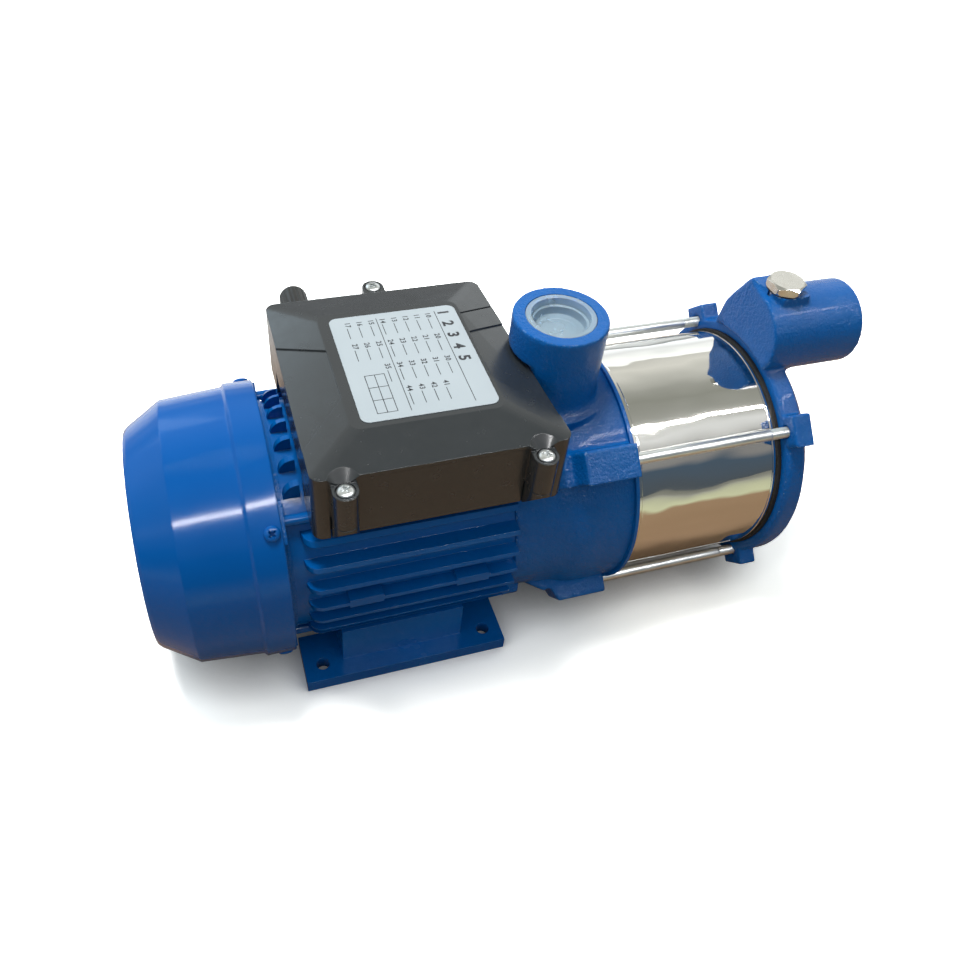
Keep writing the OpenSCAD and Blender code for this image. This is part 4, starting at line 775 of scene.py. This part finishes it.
def figures(words, x, y, height, weight):
    """A row of plain numbers that starts at x and stands on y."""
    data = bpy.data.curves.new("figures", "FONT")
    data.body = words
    data.size = height / 0.7
    data.offset = weight
    data.extrude = PRINT_RISE
    data.resolution_u = 3
    data.space_character = 1.08
    obj = bpy.data.objects.new("figures", data)
    scene.collection.objects.link(obj)
    mesh = evaluated_mesh(obj)
    bpy.data.objects.remove(obj)
    mesh.transform(Matrix.Translation((x, y, 0)))
    return mesh


def add_plate_print():
    """Ruled cells with plain counting numbers on the plate. Drops are in millimetres from
    the plate's upper edge."""
    wide = PLATE_HIGH.y - PLATE_LOW.y
    tall = PLATE_HIGH.x - PLATE_LOW.x
    margin, line, small, cell = 3.6 * MM, 0.35 * MM, 2.6 * MM, 4.6 * MM
    left, right = margin - wide / 2, wide / 2 - margin
    parts = [figures("1  2  3  4  5", left, tall / 2 - 9.2 * MM, 5.4 * MM, 0.25 * MM)]
    rows = ((11.6, ("10", "20", "30")), (17.4, ("11", "21", "31", "41")),
            (23.2, ("12", "22", "32", "42")), (29.0, ("13", "23", "33", "43")),
            (34.8, ("14", "24", "34", "44")), (40.6, ("15", "25", "35")),
            (46.4, ("16", "26")), (52.2, ("17", "27")))
    for drop, cells in rows:
        foot = tall / 2 - (drop + 4.2) * MM
        for i, word in enumerate(cells):
            x = left + i * (right - left) / 4
            parts.append(figures(word, x + 0.6 * MM, foot, small, 0.07 * MM))
            rule = foot + 0.2 * MM
            parts.append(bar((x + 5.4 * MM, rule), (x + 13.5 * MM, rule + line)))
    for drop in (11.0, 40.8):
        level = tall / 2 - drop * MM
        parts.append(bar((left, level), (right, level + line)))
    block = tall / 2 - 56.0 * MM
    x0, x1 = right - 27 * MM, right - 1 * MM
    for k in range(3):
        parts.append(bar((x0, block + cell * k), (x1, block + cell * k + line)))
    for k in range(4):
        x = x0 + (x1 - x0 - line) * k / 3
        parts.append(bar((x, block), (x + line, block + 2 * cell + line)))
    mesh = joined("plate_print", parts)
    middle = (PLATE_LOW + PLATE_HIGH) / 2
    mesh.transform(Matrix.Translation((middle.x, middle.y, PLATE_HIGH.z))
                   @ Matrix.Rotation(-math.pi / 2, 4, "Z"))
    place("plate_print", mesh, INK, "label")


add_plate_print()


# Camera
FRAME_PX = 972  # side of the picture
FOCAL_PX = 880.2  # focal length
CENTRE_PX = (451.3, 450.44)  # where the optical axis meets the picture


def make_camera():
    """The photograph's place, direction and frame."""
    data = bpy.data.cameras.new("photo_camera")
    cam = bpy.data.objects.new("photo_camera", data)
    scene.collection.objects.link(cam)
    ahead = Vector((0.25232, 0.66067, -0.70700)).normalized()
    above = Vector((0.16039, 0.69198, 0.70388))
    right = ahead.cross(above).normalized()
    above = right.cross(ahead)
    turn = Matrix((right, above, -ahead)).transposed()
    cam.matrix_world = Matrix.Translation((-0.0800, -0.3080, 0.4258)) @ turn.to_4x4()
    data.sensor_width = 36
    data.lens = FOCAL_PX / FRAME_PX * data.sensor_width
    data.shift_x = (FRAME_PX / 2 - CENTRE_PX[0]) / FRAME_PX
    data.shift_y = -(FRAME_PX / 2 - CENTRE_PX[1]) / FRAME_PX
    data.clip_start = 0.01
    data.clip_end = 50
    scene.camera = cam


make_camera()


# Floor and lights
FLOOR_HALF = 6
SHADOW_REACH = 0.032  # how far from the part the floor still darkens


def make_floor():
    """Pale to the eye, with a painted shadow: ambient occlusion darkens its colour along the line
    of contact.
    The part sees it as the warm bench of a workshop, with a pale wall behind."""
    mesh = bpy.data.meshes.new("floor")
    corners = [(x * FLOOR_HALF, y * FLOOR_HALF, 0) for x, y in ((-1, -1), (1, -1), (1, 1), (-1, 1))]
    mesh.from_pydata(corners, [], [(0, 1, 2, 3)])
    floor = bpy.data.objects.new("floor", mesh)
    scene.collection.objects.link(floor)
    mat, tree, shader = new_material("studio_floor")
    # Painted shadow: the floor's colour goes dark where ambient occlusion finds the part near
    shade = tree.nodes.new("ShaderNodeAmbientOcclusion")
    shade.inputs["Distance"].default_value = SHADOW_REACH
    shade.samples = 12
    greys = ((0.0, 0.32), (0.5, 0.90), (0.75, 1.50), (0.9, 1.95))
    pale = ramp(tree, shade.outputs["AO"], [(at, (grey, grey, grey)) for at, grey in greys])
    tree.links.new(pale.outputs["Color"], shader.inputs["Base Color"])
    shader.inputs["Roughness"].default_value = 0.9
    shader.inputs["Specular IOR Level"].default_value = 0.0
    shader.inputs["Emission Color"].default_value = (1, 1, 1, 1)
    shader.inputs["Emission Strength"].default_value = 0.03
    coord = tree.nodes.new("ShaderNodeTexCoord")
    split = tree.nodes.new("ShaderNodeSeparateXYZ")
    tree.links.new(coord.outputs["Object"], split.inputs["Vector"])
    away = spread(tree, split.outputs["Y"], 0, 1, -1.2, 1.2)
    bench = ramp(tree, away.outputs["Result"],
                 [(0.0, (0.46, 0.46, 0.42)), (0.34, (0.66, 0.68, 0.46)),
                  (0.37, (0.36, 0.24, 0.15)), (0.50, (0.32, 0.21, 0.13)),
                  (0.57, (0.34, 0.23, 0.15)), (0.63, (0.88, 0.90, 0.93)),
                  (1.0, (0.88, 0.90, 0.93))])
    bounce = tree.nodes.new("ShaderNodeBsdfDiffuse")
    tree.links.new(bench.outputs["Color"], bounce.inputs["Color"])
    seen = tree.nodes.new("ShaderNodeLightPath")
    either = tree.nodes.new("ShaderNodeMath")
    either.operation = "MAXIMUM"
    tree.links.new(seen.outputs["Is Glossy Ray"], either.inputs[0])
    tree.links.new(seen.outputs["Is Diffuse Ray"], either.inputs[1])
    mix = tree.nodes.new("ShaderNodeMixShader")
    out = tree.nodes["Material Output"]
    tree.links.new(either.outputs["Value"], mix.inputs["Fac"])
    tree.links.new(shader.outputs["BSDF"], mix.inputs[1])
    tree.links.new(bounce.outputs["BSDF"], mix.inputs[2])
    tree.links.new(mix.outputs["Shader"], out.inputs["Surface"])
    mesh.materials.append(mat)


def area_light(name, place_at, target, size, size_y, power, color):
    """A soft box that faces its target."""
    data = bpy.data.lights.new(name, "AREA")
    data.shape = "RECTANGLE"
    data.size = size
    data.size_y = size_y
    data.energy = power
    data.color = color
    light = bpy.data.objects.new(name, data)
    scene.collection.objects.link(light)
    light.location = place_at
    aim = Vector(target) - Vector(place_at)
    light.rotation_mode = "QUATERNION"
    light.rotation_quaternion = aim.to_track_quat("-Z", "Y")
    return light


def make_world():
    """A soft room in long bands: they run along X, and the ramp goes from the near
    horizon, over the top, to the far horizon. The eye sees a plain pale wall instead."""
    world = bpy.data.worlds.new("studio")
    scene.world = world
    world.use_nodes = True
    tree = world.node_tree
    back = tree.nodes["Background"]
    coord = tree.nodes.new("ShaderNodeTexCoord")
    split = tree.nodes.new("ShaderNodeSeparateXYZ")
    tree.links.new(coord.outputs["Generated"], split.inputs["Vector"])
    near = tree.nodes.new("ShaderNodeMath")
    near.operation = "MULTIPLY"
    near.inputs[1].default_value = -1
    tree.links.new(split.outputs["Y"], near.inputs[0])
    angle = tree.nodes.new("ShaderNodeMath")
    angle.operation = "ARCTAN2"
    tree.links.new(split.outputs["Z"], angle.inputs[0])
    tree.links.new(near.outputs["Value"], angle.inputs[1])
    turn = spread(tree, angle.outputs["Value"], 0, 1, 0, math.pi)
    bands = ramp(tree, turn.outputs["Result"],
                 [(0.0, (0.09, 0.11, 0.13)), (0.12, (0.08, 0.12, 0.17)),
                  (0.16, (0.28, 0.28, 0.28)), (0.22, (0.32, 0.32, 0.31)),
                  (0.26, (0.66, 0.67, 0.66)), (0.33, (0.90, 0.92, 0.92)),
                  (0.38, (0.48, 0.49, 0.46)), (0.52, (0.34, 0.35, 0.31)),
                  (0.60, (0.44, 0.45, 0.41)), (0.76, (0.90, 0.90, 0.84)),
                  (0.87, (0.66, 0.66, 0.62)), (0.94, (0.30, 0.29, 0.27)),
                  (1.0, (0.70, 0.72, 0.75))])
    seen = tree.nodes.new("ShaderNodeLightPath")
    wall = tree.nodes.new("ShaderNodeMix")
    wall.data_type = "RGBA"
    tree.links.new(seen.outputs["Is Camera Ray"], wall.inputs["Factor"])
    tree.links.new(bands.outputs["Color"], wall.inputs["A"])
    wall.inputs["B"].default_value = (0.93, 0.94, 0.95, 1)
    tree.links.new(wall.outputs["Result"], back.inputs["Color"])
    back.inputs["Strength"].default_value = 1.0


make_floor()
make_world()
MIDDLE = (0.05, 0, 0.08)  # middle of the part
STRIP_AIM = (0.10, 0, 0.10)
key = area_light("key", (-0.14, 0.24, 1.32), MIDDLE, 0.35, 0.35, 14, (1.0, 0.99, 0.97))
area_light("window", (-0.84, 1.50, 1.00), MIDDLE, 1.2, 0.8, 6, (0.66, 0.86, 1.0))
strip = area_light("strip", (0.30, -0.60, 1.22), STRIP_AIM, 1.8, 0.08, 26, (1, 1, 1))
area_light("side", (1.30, 1.60, 0.60), MIDDLE, 1.4, 1.0, 3.5, (0.9, 0.96, 1.0))
left = area_light("left", (-1.30, -0.10, 0.95), MIDDLE, 0.8, 0.8, 4, (0.95, 0.98, 1.0))
low = area_light("low", (0.45, -1.40, 0.40), MIDDLE, 0.6, 0.4, 1.5, (1.0, 0.98, 0.95))
# The strip gives only the gleam along the enamel, and three lights give no reflection
strip.visible_diffuse = False
for fill in (key, left, low):
    fill.visible_glossy = False
scene.view_settings.view_transform = "Standard"
scene.view_settings.look = "None"
scene.view_settings.exposure = 0.0
